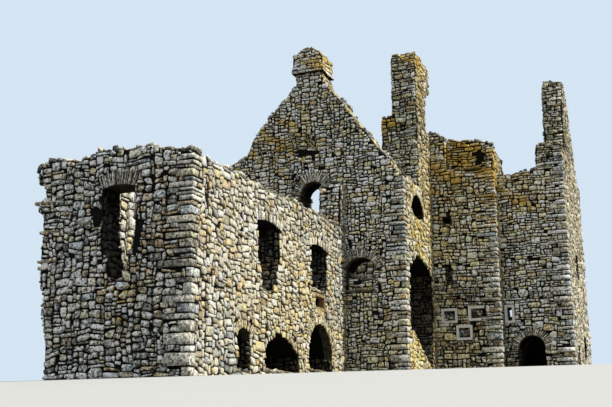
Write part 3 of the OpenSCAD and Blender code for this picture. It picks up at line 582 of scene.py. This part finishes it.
# The directions along a wall's face and out of it
FACES = {"front": (np.array([1.0, 0, 0]), np.array([0, -1.0, 0])),
         "side": (np.array([0, 1.0, 0]), np.array([1.0, 0, 0]))}
# Spots this near to a wall's plane are on it
ON_WALL = 0.1

claimed = []


def hollow(face, level, mid, height, half, rise):
    """A ragged hollow where the wall's own stones are left out, for fallen stones and for painted shadows:
    its middle, and its reach along and up the wall.
    """
    along, out = FACES[face]
    plane = level * out.sum()

    def holds(spots):
        a, b = (spots @ along - mid) / half, (spots[:, 2] - height) / rise
        turn = np.arctan2(b, a)
        ragged = 1 + 0.22 * np.sin(3 * turn + 1.0) + 0.15 * np.sin(5 * turn)
        return (np.abs(spots @ out - plane) < ON_WALL) & (np.hypot(a, b) < ragged)
    claimed.append(holds)


def claim(low, high):
    """Keeps the wall's own stones out of a box that another stone fills."""
    low, high = np.array(low), np.array(high)
    claimed.append(lambda spots: (spots > low).all(axis=1) & (spots < high).all(axis=1))


# Laying stones over the cells of a face

# Courses, in cells: the least height of one, and the least rest of a row that makes a stone
LEAST_COURSE, LEAST_REST = 2, 3
# Least share of free cells in a column of a course and in a line of a stone
FREE_COLUMN, FREE_LINE = 0.2, 0.5
# How rare long stones are, and how much longer the last one of a row may be
RARITY, LAST_LONGER = 1.6, 1.6
# Shares of stones that fill two courses or are split, and the sizes that allow it
DOUBLES, TALLEST_DOUBLE = 0.3, 0.5
SPLITS, TALL_SPLIT, LONG_SPLIT = 0.2, 0.2, 0.55
SPLIT_HEIGHT, SPLIT_LENGTH = (0.35, 0.65), (0.6, 0.8)
# Random rubble: the least stone in cells, the share of thin stones, and the like
LEAST_STONE, THIN = 2, 0.15
RANDOM_RARITY, RANDOM_LONGER = 1.3, 1.3
RANDOM_FREE, TOP_FREE = 0.55, 0.5


def spans(row):
    """Runs of True in a row, as (start, end) pairs."""
    edges = np.flatnonzero(np.diff(np.concatenate([[0], row.astype(int), [0]])))
    return zip(edges[::2], edges[1::2])


def course_heights(rows, course):
    """Courses from the foot up, as (first row, rows)."""
    heights, j = [], 0
    while j < rows:
        h = max(LEAST_COURSE, int(round(rng.uniform(*course) / CELL)))
        if rows - j - h < LEAST_COURSE:
            h = rows - j
        heights.append((j, h))
        j += h
    return heights


def lay_courses(mask, course, length):
    """Coursed rubble over a mask: rows of (u0, u1, v0, v1) in cells."""
    mask = mask.copy()
    rects = []
    heights = course_heights(mask.shape[0], course)
    for k, (j, h) in enumerate(heights):
        above = heights[k + 1][1] if k + 1 < len(heights) else 0
        for i, end in spans(mask[j:j + h].mean(axis=0) > FREE_COLUMN):
            while i < end:
                w = int(round((length[0] + (length[1] - length[0]) * rng.random() ** RARITY) / CELL))
                if end - i - w < LEAST_REST:
                    w = end - i if end - i < LAST_LONGER * length[1] / CELL else (end - i) // 2
                lines = np.flatnonzero(mask[j:j + h, i:i + w].mean(axis=1) > FREE_LINE)
                if len(lines):
                    u0, u1, v0, v1 = i, i + w, j + lines[0], j + lines[-1] + 1
                    over = mask[j + h:j + h + above, i:i + w]
                    if above and v1 == j + h and rng.random() < DOUBLES \
                            and (h + above) * CELL < TALLEST_DOUBLE and over.all():
                        over[:] = False
                        v1 += above
                    elif (v1 - v0) * CELL > TALL_SPLIT and rng.random() < SPLITS:
                        cut = v0 + (v1 - v0) * rng.uniform(*SPLIT_HEIGHT)
                        rects.append((u0, u1, v0, cut))
                        v0 = cut
                    elif w * CELL > LONG_SPLIT and rng.random() < SPLITS:
                        cut = u0 + w * rng.uniform(*SPLIT_LENGTH)
                        middle = (v0 + v1) / 2
                        rects.append((cut, u1, v0, middle))
                        rects.append((cut, u1, middle, v1))
                        u1 = cut
                    rects.append((u0, u1, v0, v1))
                i += w
    return np.array(rects, float).reshape(-1, 4)


def lay_random(mask, course, length):
    """Random rubble: each free spot, from the lowest up, takes a stone of its own size."""
    taken, rects = np.zeros_like(mask), []
    low, high = np.array(length) / CELL
    for j in range(len(mask)):
        for i, end in spans(mask[j] & ~taken[j]):
            while i < end:
                w = max(LEAST_STONE, int(round(low + (high - low) * rng.random() ** RANDOM_RARITY)))
                h = LEAST_STONE if rng.random() < THIN else int(round(rng.uniform(*course) / CELL))
                if end - i - w < LEAST_STONE:
                    w = end - i if end - i <= RANDOM_LONGER * high else (end - i) // 2
                free = mask[j:j + h + 1, i:i + w].mean(axis=1) > RANDOM_FREE
                free &= ~taken[j:j + h + 1, i:i + w].any(axis=1)
                run = len(free) if free.all() else int(np.argmin(free))
                if run == h + 1 and (j + run >= len(mask) or mask[j + run, i:i + w].mean() < TOP_FREE):
                    h = run
                h = min(h, run)
                taken[j:j + h, i:i + w] = True
                rects.append((i, i + w, j, j + h))
                i += w
    return np.array(rects, float).reshape(-1, 4)


# Mesh, in metres, of the net of drift's steps
DRIFT_NET = 0.42


def wobble(u, v):
    """A slow wander of the courses, in metres, so that no joint runs dead straight."""
    du = 0.022 * np.sin(2.1 * v + 1.3 * np.sin(0.9 * u)) + 0.012 * np.sin(5.3 * v + 2.0 * u)
    dv = 0.030 * np.sin(1.15 * u + 0.8 * np.sin(0.7 * v)) + 0.016 * np.sin(3.7 * u + 1.9 * v)
    return du, dv


def drift(u, v, reach):
    """Smooth random steps for the points of a wall: its stones lean and taper but still fit."""
    a, b = (u - u.min()) / DRIFT_NET, (v - v.min()) / DRIFT_NET
    steps = rng.uniform(-1, 1, (int(b.max()) + 3, int(a.max()) + 3, 2)) * np.array(reach)
    i, j = a.astype(int), b.astype(int)
    a, b = (a - i)[..., None], (b - j)[..., None]
    low = steps[j, i] * (1 - a) + steps[j, i + 1] * a
    high = steps[j + 1, i] * (1 - a) + steps[j + 1, i + 1] * a
    both = low * (1 - b) + high * b
    return both[..., 0], both[..., 1]


# Painted shade: darker where a stone sees little sky, and where it lines an opening

SKY_HEIGHTS = (0.3, 0.9)
SKY_TURNS = 8
SKY = [Vector((math.cos(a + h) * math.cos(h), math.sin(a + h) * math.cos(h), math.sin(h)))
       for h in SKY_HEIGHTS for a in np.arange(SKY_TURNS) * 2 * math.pi / SKY_TURNS]
# Directions nearer to the wall's plane are left out
SKY_LEAST = 0.15
SKY_START = 0.15
SKY_REACH = 40.0
# How much darker painted shade makes a stone that sees no sky
SKY_PAINTED_SHADE = 0.8
# Painted shade on the stones that line an opening, and how far from the opening's box
REVEAL_PAINTED_SHADE = 0.13
REVEAL_REACH = 0.3
REVEAL_BELOW = 0.2
# The axis through the wall, its inner and outer face, and the opening's edges along it and in height
OPENINGS = [
    (0, -3.1, -1.8, -11.9, -10.7, 0.3, 2.1),  # wing doorway
    (0, -3.1, -1.8, -9.4, -5.7, 0.4, 2.3),  # wing gap
    (0, -3.1, -1.8, -4.6, -1.5, 0.7, 3.0),  # wing archway
    (0, -3.1, -1.8, -10.1, -7.8, 3.6, 6.6),  # front long window
    (0, -3.1, -1.8, -4.2, -2.0, 4.4, 6.6),  # back long window
    (0, -3.1, -1.8, -3.7, -2.4, 3.7, 4.3),  # small window
    (1, -15.6, -14.3, -5.45, -4.0, 3.3, 6.9),  # end window
    (1, 0.6, 1.9, -4.1, -2.7, 8.8, 10.7),  # gable window
    (1, 0.6, 1.9, -1.8, -0.2, 4.8, 6.6),  # hall window
    (0, 0.0, 1.3, 0.9, 6.0, 1.2, 7.0),  # side breach
    (0, 0.0, 1.3, 2.0, 4.5, 8.8, 10.2),  # side window
    (1, 7.2, 8.5, 5.4, 7.0, 0.8, 3.1),  # cellar arch
    (0, 7.0, 8.3, 8.5, 9.7, 0.7, 2.7),  # right gable's doorway
    (0, 7.0, 8.3, 10.2, 12.0, 6.3, 7.8),  # its high window
    (0, 7.0, 8.3, 11.9, 13.6, 1.9, 3.4),  # its low window
]


def open_sky(points, normal):
    """The share of its wall's open sky that each point of the wall sees."""
    normal = Vector(normal)
    ways = [way for way in SKY if way.dot(normal) > SKY_LEAST]
    seen = [sum(solid.ray_cast(Vector(p) + normal * SKY_START, way, SKY_REACH)[0] is None for way in ways)
            for p in points]
    return np.array(seen) / len(ways)


def reveal_shade(points, normal):
    """Painted shade on the stones, by whether they line an opening."""
    painted_shade = np.ones(len(points))
    for axis, inner, outer, start, end, low, high in OPENINGS:
        if abs(normal[axis]) < FACING and normal[2] < FACING:
            across, through, height = points[:, 1 - axis], points[:, axis], points[:, 2]
            inside = (across > start - REVEAL_REACH) & (across < end + REVEAL_REACH)
            inside &= (through > inner) & (through < outer)
            inside &= (height > low - REVEAL_BELOW) & (height < high + REVEAL_REACH)
            painted_shade[inside] = REVEAL_PAINTED_SHADE
    return painted_shade


# How faces are laid. Ranges in metres: course, length, depth and half a joint. Then drift: how far stones are
# pushed about; broken: their corners; lost: the share of small ones fallen out; mottle: how much the patterns
# show; fine: with a shoulder; lift: a factor on their colours

# The shoulder's factor is painted shade on a stone's sides, down in the joints
LAID = dict(lay=lay_random, broken=1.0, mottle=1.0, fine=True, joint=(0.010, 0.034), side_painted_shade=0.35,
            lift=1.0)
HEADS = dict(LAID, course=(0.2, 0.45), length=(0.25, 0.7), depth=(0.03, 0.24), palette=SHADED, mottle=0.8,
             lost=0.0)
PLAIN_HEADS = dict(HEADS, fine=False)
# The sun looks are a lit copy of the stone: warmer palettes and less mottling, partly painted sunlight
WING_SUN = dict(LAID, course=(0.16, 0.36), length=(0.2, 0.62), depth=(0.02, 0.09), broken=1.3,
                drift=(0.09, 0.07), palette=SUNNY, mottle=0.4, lost=0.35, joint=(0.008, 0.026),
                side_painted_shade=0.5)
TOWER_SUN = dict(WING_SUN, palette=GOLD)
WING_SHADE = dict(LAID, course=(0.14, 0.34), length=(0.2, 0.7), depth=(0.02, 0.10), broken=1.35,
                  drift=(0.10, 0.08), palette=SHADED, lost=0.25, lift=1.45)
TOWER_SHADE = dict(LAID, lay=lay_courses, course=(0.10, 0.22), length=(0.2, 0.64), depth=(0.02, 0.085),
                   drift=(0.07, 0.05), palette=TOWER, lost=0.3, lift=1.7)
GABLE_SHADE = dict(LAID, course=(0.13, 0.29), length=(0.18, 0.6), depth=(0.02, 0.085), broken=1.25,
                   drift=(0.085, 0.065), palette=TOWER, lost=0.25, lift=1.75)
HIDDEN = dict(LAID, course=(0.27, 0.5), length=(0.45, 1.1), depth=(0.02, 0.05), drift=(0.09, 0.07),
              palette=SHADED, mottle=0.8, fine=False, lost=0.15, lift=1.2)
HIDDEN_SUN = dict(HIDDEN, palette=SUNNY)
# Only stones with a face smaller than this fall out
SMALL_STONE = 0.032
# Faces that look down, narrow ones and nearly covered ones take no stones; wall heads look up more than FLAT
DOWN = -0.5
LEAST_WIDTH = 0.2
LEAST_BARE = 0.04
FLAT = 0.6


def look_of(normal, shade, sun):
    """How a face is laid, by where it looks: to the back and the left, larger and plainer stones do; faces
    towards the key light take a lit copy of the stone.
    """
    sunny = normal[0] > FACING
    if normal[2] > FLAT:
        return PLAIN_HEADS if shade is HIDDEN else HEADS
    if shade is HIDDEN or normal[1] > FACING or normal[0] < -FACING:
        return HIDDEN_SUN if sunny else HIDDEN
    return sun if sunny else shade


def bare_cells(normal, tris, along, up):
    """A face's map of cells that are free to take stones, the map's corner and the plane's height."""
    u, v = tris @ along, tris @ up
    u0, v0 = u.min(), v.min()
    shape = (int(np.ceil(np.ptp(v) / CELL)), int(np.ceil(np.ptp(u) / CELL)))
    mask = fill_mask(u, v, u0, v0, shape)
    height = (tris[0, 0] * normal).sum()
    jj, ii = np.nonzero(mask)
    spots = (along * (u0 + (ii[:, None] + 0.5) * CELL) + up * (v0 + (jj[:, None] + 0.5) * CELL)
             + normal * height)
    free = np.ones(len(spots), bool)
    for holds in claimed:
        free &= ~holds(spots)
    direction = Vector(normal)
    for k in np.flatnonzero(free):
        free[k] = not covered(Vector(spots[k]), direction)
    mask[jj[~free], ii[~free]] = False
    return mask, u0, v0, height


def lay(heap, normal, along, up, cells, look):
    """Lays stones over the bare cells of one face."""
    mask, u0, v0, height = cells
    rects = look["lay"](mask, look["course"], look["length"]) * CELL
    area = (rects[:, 1] - rects[:, 0]) * (rects[:, 3] - rects[:, 2])
    rects = rects[(area > SMALL_STONE) | (rng.random(len(rects)) > look["lost"])]
    if not len(rects):
        return
    rects[:, :2] += u0
    rects[:, 2:] += v0
    depth = rng.uniform(*look["depth"], len(rects))
    points, faces, painted_shade = pillows(rects, depth, look)
    pu, pv, ph = points[..., 0], points[..., 1], points[..., 2]
    if normal[2] <= FLAT:
        du, dv = wobble(pu, pv)
        push_u, push_v = drift(pu, pv, look["drift"])
        pu, pv = pu + du + push_u, pv + dv + push_v
    world = pu[..., None] * along + pv[..., None] * up + (ph + height)[..., None] * normal
    middles = world.mean(axis=1)
    # Painted shade where a stone sees little sky and where it lines an opening
    sky_and_reveal_shade = (1 - SKY_PAINTED_SHADE * (1 - open_sky(middles, normal)) ** 2) * reveal_shade(middles, normal)
    colours = np.clip(zoned_colours(look["palette"], middles) * look["lift"], DARKEST, LIFTED_PALEST)
    heap.add(world, faces, colours, painted_shade * sky_and_reveal_shade[:, None], look["mottle"])


def skin(heap, names, shade, sun):
    """Lays stones over every bare flat face of some nodes."""
    for normal, tris in planes(names):
        along, up = axes_of(normal, tris)
        if normal[2] < DOWN or min(np.ptp(tris @ along), np.ptp(tris @ up)) < LEAST_WIDTH:
            continue
        cells = bare_cells(normal, tris, along, up)
        if cells[0].sum() * CELL * CELL >= LEAST_BARE:
            lay(heap, normal, along, up, cells, look_of(normal, shade, sun))


# Corners and arches

# Heights of the quoins at the foot and the head of a corner
QUOIN_FOOT, WING_QUOIN_FOOT, QUOIN_HEAD = (0.2, 0.4), (0.24, 0.5), (0.12, 0.26)
LEAST_QUOIN = 0.12
# How far even and odd ones reach along X and along Y, and out of the walls
QUOIN_REACH = (((0.16, 0.5), (0.25, 0.75)), ((0.4, 1.05), (0.14, 0.4)))
QUOIN_OUT = (0.03, 0.08)
# Half the open joint over a quoin, and its spread
QUOIN_JOINT, JOINT_SPREAD = 0.016, (0.8, 1.8)
QUOIN_CHAMFER, QUOIN_ROUGH = 0.024, 0.018
QUOIN_LIFT = 1.15
# Painted shade on the quoins' beds, in the joints between them
QUOIN_BED_SHADE = 0.35
# Slabs on edge: how far from the arch, past its ends and apart; the spread of their lengths and heights
FAN_START = 0.02
FAN_PAST = 0.04
FAN_JOINT = 0.012
FAN_LENGTHS = (0.75, 1.1)
FAN_OUT = (-0.02, 0.03)
FAN_CHAMFER, FAN_ROUGH = 0.014, 0.012
# Painted shade on the slabs' sides, in the joints between them
FAN_SIDE_SHADE = 0.25
# The band that the wall's own stones leave free
FAN_INNER, FAN_OUTER = 0.05, 0.85
BLOCK_MOTTLE = 0.8


def quoins(heap, name, top, foot=QUOIN_FOOT):
    """Long and short slabs by turns that turn a wall's right front corner, taller at its foot."""
    low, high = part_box(name)
    x, y = high.x, low.y
    z, odd, middles, halves = 0.0, False, [], []
    while z < top - LEAST_QUOIN:
        part = z / top
        h = rng.uniform(*(a + (b - a) * part for a, b in zip(foot, QUOIN_HEAD)))
        if top - z - h < LEAST_QUOIN:
            h = top - z
        reach_x, reach_y = QUOIN_REACH[odd]
        lx, ly = rng.uniform(*reach_x), rng.uniform(*reach_y)
        out_x, out_y = rng.uniform(*QUOIN_OUT, 2)
        lo, hi = np.array([x - lx, y - out_y, z]), np.array([x + out_x, y + ly, z + h])
        middles.append((lo + hi) / 2)
        halves.append((hi - lo) / 2 - np.array([0, 0, QUOIN_JOINT * rng.uniform(*JOINT_SPREAD)]))
        claim(lo, hi)
        z += h
        odd = not odd
    points, faces = blocks(middles, halves, QUOIN_CHAMFER, QUOIN_ROUGH)
    colours = np.minimum(pick_colours(QUOIN, len(middles)) * QUOIN_LIFT, PALEST)
    heap.add(points, faces, colours, np.where(BLOCK_AXIS == 2, QUOIN_BED_SHADE, 1.0), BLOCK_MOTTLE)


def fan(heap, face, level, mid, width, crown, rise, palette, reach, thickness):
    """Thin slabs on edge over an arch: level is the wall's face, mid the arch's middle along the wall."""
    along, out = FACES[face]
    r = (rise * rise + width * width / 4) / (2 * rise)
    half = math.asin(min(1.0, width / (2 * r))) + FAN_PAST
    angle, angles, thick = -half, [], []
    while angle < half:
        t = rng.uniform(*thickness)
        angles.append(angle + t / 2 / (r + reach / 2))
        thick.append(t)
        angle += t / (r + reach / 2)
    angles, thick = np.array(angles), np.array(thick)
    count = len(angles)
    length = reach * rng.uniform(*FAN_LENGTHS, count)
    halves = np.stack([thick / 2 - FAN_JOINT, length / 2, np.full(count, SUNK)], axis=1)
    points, faces = blocks(np.zeros((count, 3)), halves, FAN_CHAMFER, FAN_ROUGH)
    points[..., 1] += (r + FAN_START + length / 2)[:, None]
    points[..., 2] += rng.uniform(*FAN_OUT, (count, 1))
    s, c = np.sin(angles)[:, None], np.cos(angles)[:, None]
    u = points[..., 0] * c + points[..., 1] * s + mid
    plane = level * out.sum()
    world = u[..., None] * along + (points[..., 2] + plane)[..., None] * out
    world[..., 2] = -points[..., 0] * s + points[..., 1] * c + crown - r
    painted_shade = np.where(BLOCK_AXIS == 2, 1.0, FAN_SIDE_SHADE)
    heap.add(world, faces, pick_colours(palette, count), painted_shade, BLOCK_MOTTLE)

    def holds(spots):
        away_u, away_z = spots @ along - mid, spots[:, 2] - (crown - r)
        distance = np.hypot(away_u, away_z)
        near = np.abs(spots @ out - plane) < ON_WALL
        turned = np.abs(np.arctan2(away_u, away_z)) < half
        return near & turned & (distance > r - FAN_INNER) & (distance < r + FAN_START + reach * FAN_OUTER)
    claimed.append(holds)


wing_heap, long_heap, gable_heap, side_heap, turret_heap, block_heap = (Heap() for _ in range(6))

quoins(wing_heap, "wing_end_wall", 7.8, WING_QUOIN_FOOT)
quoins(gable_heap, "gable_wall", 10.6)
quoins(turret_heap, "turret_front_wall", 11.9)
quoins(block_heap, "block_front_wall", 13.1)

# Arches with a cut ring: face, width, rise, and the slabs' colours, length and thickness
RING_H = 0.3
THIN_SLABS, THICK_SLABS = (0.08, 0.15), (0.11, 0.2)
for name, heap, face, width, rise, palette, reach, thickness in (
        ("gable_window_ring", gable_heap, "front", 1.31, 0.62, SLABS, 0.55, THIN_SLABS),
        ("hall_window_ring", gable_heap, "front", 1.55, 0.56, SLABS, 0.5, THIN_SLABS),
        ("cellar_arch_ring", block_heap, "front", 1.37, 0.65, SLABS, 0.42, THIN_SLABS),
        ("wing_arch_ring", long_heap, "side", 3.0, 1.425, OCHRE, 0.4, THICK_SLABS),
        ("wing_door_ring", long_heap, "side", 1.17, 0.32, OCHRE, 0.36, THICK_SLABS)):
    low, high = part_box(name)
    level, mid = (low.y, (low.x + high.x) / 2) if face == "front" else (high.x, (low.y + high.y) / 2)
    fan(heap, face, level, mid, width, high.z - RING_H, rise, palette, reach, thickness)

# Openings without one: face, level, middle, width, crown, rise, colours, length and thickness
fan(wing_heap, "front", -15.6, -4.73, 1.25, 6.89, 0.10, SLABS, 0.56, (0.055, 0.11))
fan(long_heap, "side", -1.8, -8.93, 2.2, 6.59, 0.14, SUNNY, 0.42, (0.12, 0.24))
fan(long_heap, "side", -1.8, -3.11, 2.05, 6.59, 0.14, SUNNY, 0.40, (0.12, 0.24))
fan(side_heap, "side", 1.3, 3.22, 2.4, 10.10, 0.80, GOLD, 0.40, (0.10, 0.20))

# Hollows where stones have fallen out, and two painted shadows: face, level, middle along and up the wall,
# and their reach
hollow("front", -15.6, -5.62, 5.85, 0.26, 0.34)  # left of the end window
hollow("front", -15.6, -3.93, 5.1, 0.20, 0.75)  # right of the end window
# Bare near-black core under the drip course: a painted shadow of it
hollow("front", 0.6, -3.9, 12.26, 0.62, 0.16)  # under the old roof's drip course
# Bare near-black core in the recess: a painted shadow of the right pier
hollow("front", 6.65, 4.1, 12.8, 0.32, 0.42)  # in the turret's recess
hollow("front", 6.25, 2.3, 9.5, 0.1, 0.2)  # small hole in the turret's front


# Slabs laid one by one

# Slabs that stand out of the wing's torn corner: their outer ends and heights, and their half sizes
TORN_SLABS = [(-8.38, 6.52), (-8.1, 5.4), (-8.13, 4.3), (-8.1, 4.08), (-7.86, 2.7)]
TORN_LENGTH, TORN_HEIGHT, TORN_DEPTH = (0.34, 0.42), (0.04, 0.06), 0.29
TORN_Y = -15.34
# Chamfer and roughness of single slabs
TORN_EDGE, PANEL_EDGE, LEDGE_EDGE = (0.015, 0.012), (0.02, 0.012), (0.015, 0.015)
for x, z in TORN_SLABS:
    length, thick = rng.uniform(*TORN_LENGTH), rng.uniform(*TORN_HEIGHT)
    middle, half = (x + length, TORN_Y, z), (length, TORN_DEPTH, thick)
    points, faces = blocks([middle], [half], *TORN_EDGE)
    wing_heap.add(points, faces, pick_colours(BROWN, 1), 1.0, BLOCK_MOTTLE)

# Near-black panels inside the turret's margins, painted shade of the empty recesses: how far they lie in, and
# how far off the wall's own stones keep
PANEL_SHADE_TONE = (0.036, 0.037, 0.032)
PANEL_FACE_SHADE = 0.8
PANEL_IN, PANEL_HALF_DEPTH, MARGIN = 0.02, 0.035, 0.14
CLEAR_BACK, CLEAR_FRONT = 0.12, 0.05
for name in ("panel_frame_left", "panel_frame_right", "panel_frame_low"):
    low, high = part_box(name)
    claim((low.x, high.y - CLEAR_BACK, low.z), (high.x, high.y + CLEAR_FRONT, high.z))
    middle = ((low.x + high.x) / 2, high.y - PANEL_IN, (low.z + high.z) / 2)
    half = ((high.x - low.x) / 2 - MARGIN, PANEL_HALF_DEPTH, (high.z - low.z) / 2 - MARGIN)
    points, faces = blocks([middle], [half], *PANEL_EDGE)
    turret_heap.add(points, faces, np.array([PANEL_SHADE_TONE]), PANEL_FACE_SHADE, 1.0)

# Slabs of the ledge under the gable chimney's head: its height, their lengths and the least rest that makes
# one, how far they lie in, the gap between them and their half sizes
LEDGE_H = 0.13
LEDGE_SLAB, LEDGE_REST = (0.3, 0.6), 0.15
LEDGE_IN, LEDGE_GAP = 0.1, 0.01
HALF_DEPTH, HALF_HEIGHT = 0.13, 0.055
low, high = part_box("gable_chimney_head")
level = low.z + LEDGE_H / 2
for axis in (0, 1):
    place, end = low[axis], high[axis]
    while place < end - LEDGE_REST:
        length = min(rng.uniform(*LEDGE_SLAB), end - place)
        centre, half_length = place + length / 2, length / 2 - LEDGE_GAP
        if axis == 0:
            middle, half = (centre, low.y + LEDGE_IN, level), (half_length, HALF_DEPTH, HALF_HEIGHT)
        else:
            middle, half = (high.x - LEDGE_IN, centre, level), (HALF_DEPTH, half_length, HALF_HEIGHT)
        points, faces = blocks([middle], [half], *LEDGE_EDGE)
        gable_heap.add(points, faces, pick_colours(PALE, 1), 1.0, 1.0)
        place += length


# The pieces: heap, slot, the walls they cover, and how faces in shade and in sun are laid
for name, heap, slot, walls, shade, sun in (
        ("wing_end_stones", wing_heap, "rubble_grey",
         ["wing_end_wall", "wing_end_lintel"], WING_SHADE, WING_SUN),
        ("wing_long_stones", long_heap, "rubble_buff",
         ["wing_long_wall_ground", "wing_long_wall_upper", "wing_stub"], WING_SHADE, WING_SUN),
        ("gable_stones", gable_heap, "rubble_grey",
         ["gable_wall", "gable_chimney", "gable_chimney_head"], GABLE_SHADE, TOWER_SUN),
        ("side_wall_stones", side_heap, "rubble_buff",
         ["side_wall_ground", "side_wall_upper", "side_chimney", "side_chimney_head", "side_chimney_flue",
          "hall_window_blocking"], TOWER_SHADE, TOWER_SUN),
        ("turret_stones", turret_heap, "rubble_grey",
         ["turret_front_wall", "turret_left_wall", "turret_right_wall", "turret_back_wall"],
         TOWER_SHADE, TOWER_SUN),
        ("right_block_stones", block_heap, "rubble_buff",
         ["block_front_wall", "right_gable_wall"], TOWER_SHADE, WING_SUN),
        ("left_wall_stones", Heap(), "rubble_grey", ["wing_left_wall", "tower_left_wall"], HIDDEN, HIDDEN),
        ("back_wall_stones", Heap(), "rubble_grey", ["tower_back_wall"], HIDDEN, HIDDEN)):
    skin(heap, walls, shade, sun)
    heap.piece(name, slot)


def core_of(name):
    """The material of a node of the frame."""
    if name.endswith("vault"):
        return vault_core
    if name.startswith("panel") or name == "slit_margin":
        return dressed_core
    if name in ("small_window_margin", "roof_drip_course"):
        return ochre_core
    return ring_core if name.endswith("_ring") or name == "wing_end_lintel" else shaded_wall_core


for name, node in nodes.items():
    node.data.materials.clear()
    node.data.materials.append(core_of(name))
    for polygon in node.data.polygons:
        polygon.material_index = 0


# Floor, light and camera

CAMERA_PLACE = (13.98, -45.22, -1.82)
CAMERA_PITCH = 103.08
CAMERA_TURN = 21.26
CAMERA_ROLL = -0.35
LENS = 57.87
SENSOR = 36
FAR = 1000
# The backdrop and the floor as the camera sees them, and what they throw on the building
SKY_SEEN = (0.66, 0.78, 0.90)
SKY_LIGHT = (0.42, 0.45, 0.49)
FLOOR_SEEN = (0.58, 0.58, 0.56)
FLOOR_BOUNCE = (0.12, 0.115, 0.10)
# Where the floor starts to fall, its slope, how far it falls on, and its grid
FALL_START, FALL_SLOPE, FALL_LENGTH = -16.6, 0.115, 60
FLOOR_X = np.concatenate([[-400, -120, -60], np.arange(-40, 60, 2.0), [80, 140, 400]])
FLOOR_Y = np.concatenate([[-400, -150, -90], np.arange(-70, 40, 2.0), [60, 140, 400]])
# The lights: strength, apparent width in degrees, colour and direction
SUNS = [
    ("key", 3.9, 1, (1.0, 0.95, 0.86), (-0.80, -0.13, -0.62)),
    ("fill", 0.8, 60, (0.93, 0.97, 1.0), (0.1, 0.45, -0.9)),
]


def ground():
    """A plain pale floor, flat under the building and falling away towards the camera."""
    gx, gy = np.meshgrid(FLOOR_X, FLOOR_Y)
    fall = np.maximum(0, FALL_START - gy)
    gz = -FALL_SLOPE * np.minimum(fall, FALL_LENGTH)
    points = np.stack([gx, gy, gz], axis=2).reshape(-1, 3)
    n = len(FLOOR_X)
    faces = [(j * n + i, j * n + i + 1, (j + 1) * n + i + 1, (j + 1) * n + i)
             for j in range(len(FLOOR_Y) - 1) for i in range(n - 1)]
    mesh = bpy.data.meshes.new("floor")
    mesh.from_pydata([tuple(p) for p in points], [], faces)
    for polygon in mesh.polygons:
        polygon.use_smooth = True
    material, tree, shader = new_material("pale_floor")
    seen = tree.nodes.new("ShaderNodeLightPath").outputs["Is Camera Ray"]
    tree.links.new(mix(tree, "MIX", seen, FLOOR_BOUNCE, FLOOR_SEEN), shader.inputs["Base Color"])
    mesh.materials.append(material)
    floor = put("floor", mesh)


def lights():
    world = bpy.data.worlds.new("studio")
    world.use_nodes = True
    bpy.context.scene.world = world
    tree = world.node_tree
    background = tree.nodes["Background"]
    seen = tree.nodes.new("ShaderNodeLightPath").outputs["Is Camera Ray"]
    tree.links.new(mix(tree, "MIX", seen, SKY_LIGHT, SKY_SEEN), background.inputs["Color"])
    for name, energy, angle, colour, way in SUNS:
        light = bpy.data.lights.new(name, "SUN")
        light.energy = energy
        light.angle = math.radians(angle)
        light.color = colour
        put(name, light).rotation_euler = Vector(way).to_track_quat("-Z", "Y").to_euler()


def camera():
    data = bpy.data.cameras.new("camera")
    data.lens = LENS
    data.sensor_width = SENSOR
    data.clip_end = FAR
    view = put("camera", data)
    view.location = CAMERA_PLACE
    turn = Euler((math.radians(CAMERA_PITCH), 0, math.radians(CAMERA_TURN))).to_matrix()
    view.rotation_euler = (turn @ Matrix.Rotation(math.radians(CAMERA_ROLL), 3, "Z")).to_euler()
    bpy.context.scene.camera = view


ground()
lights()
camera()
bpy.context.scene.view_settings.view_transform = "Standard"
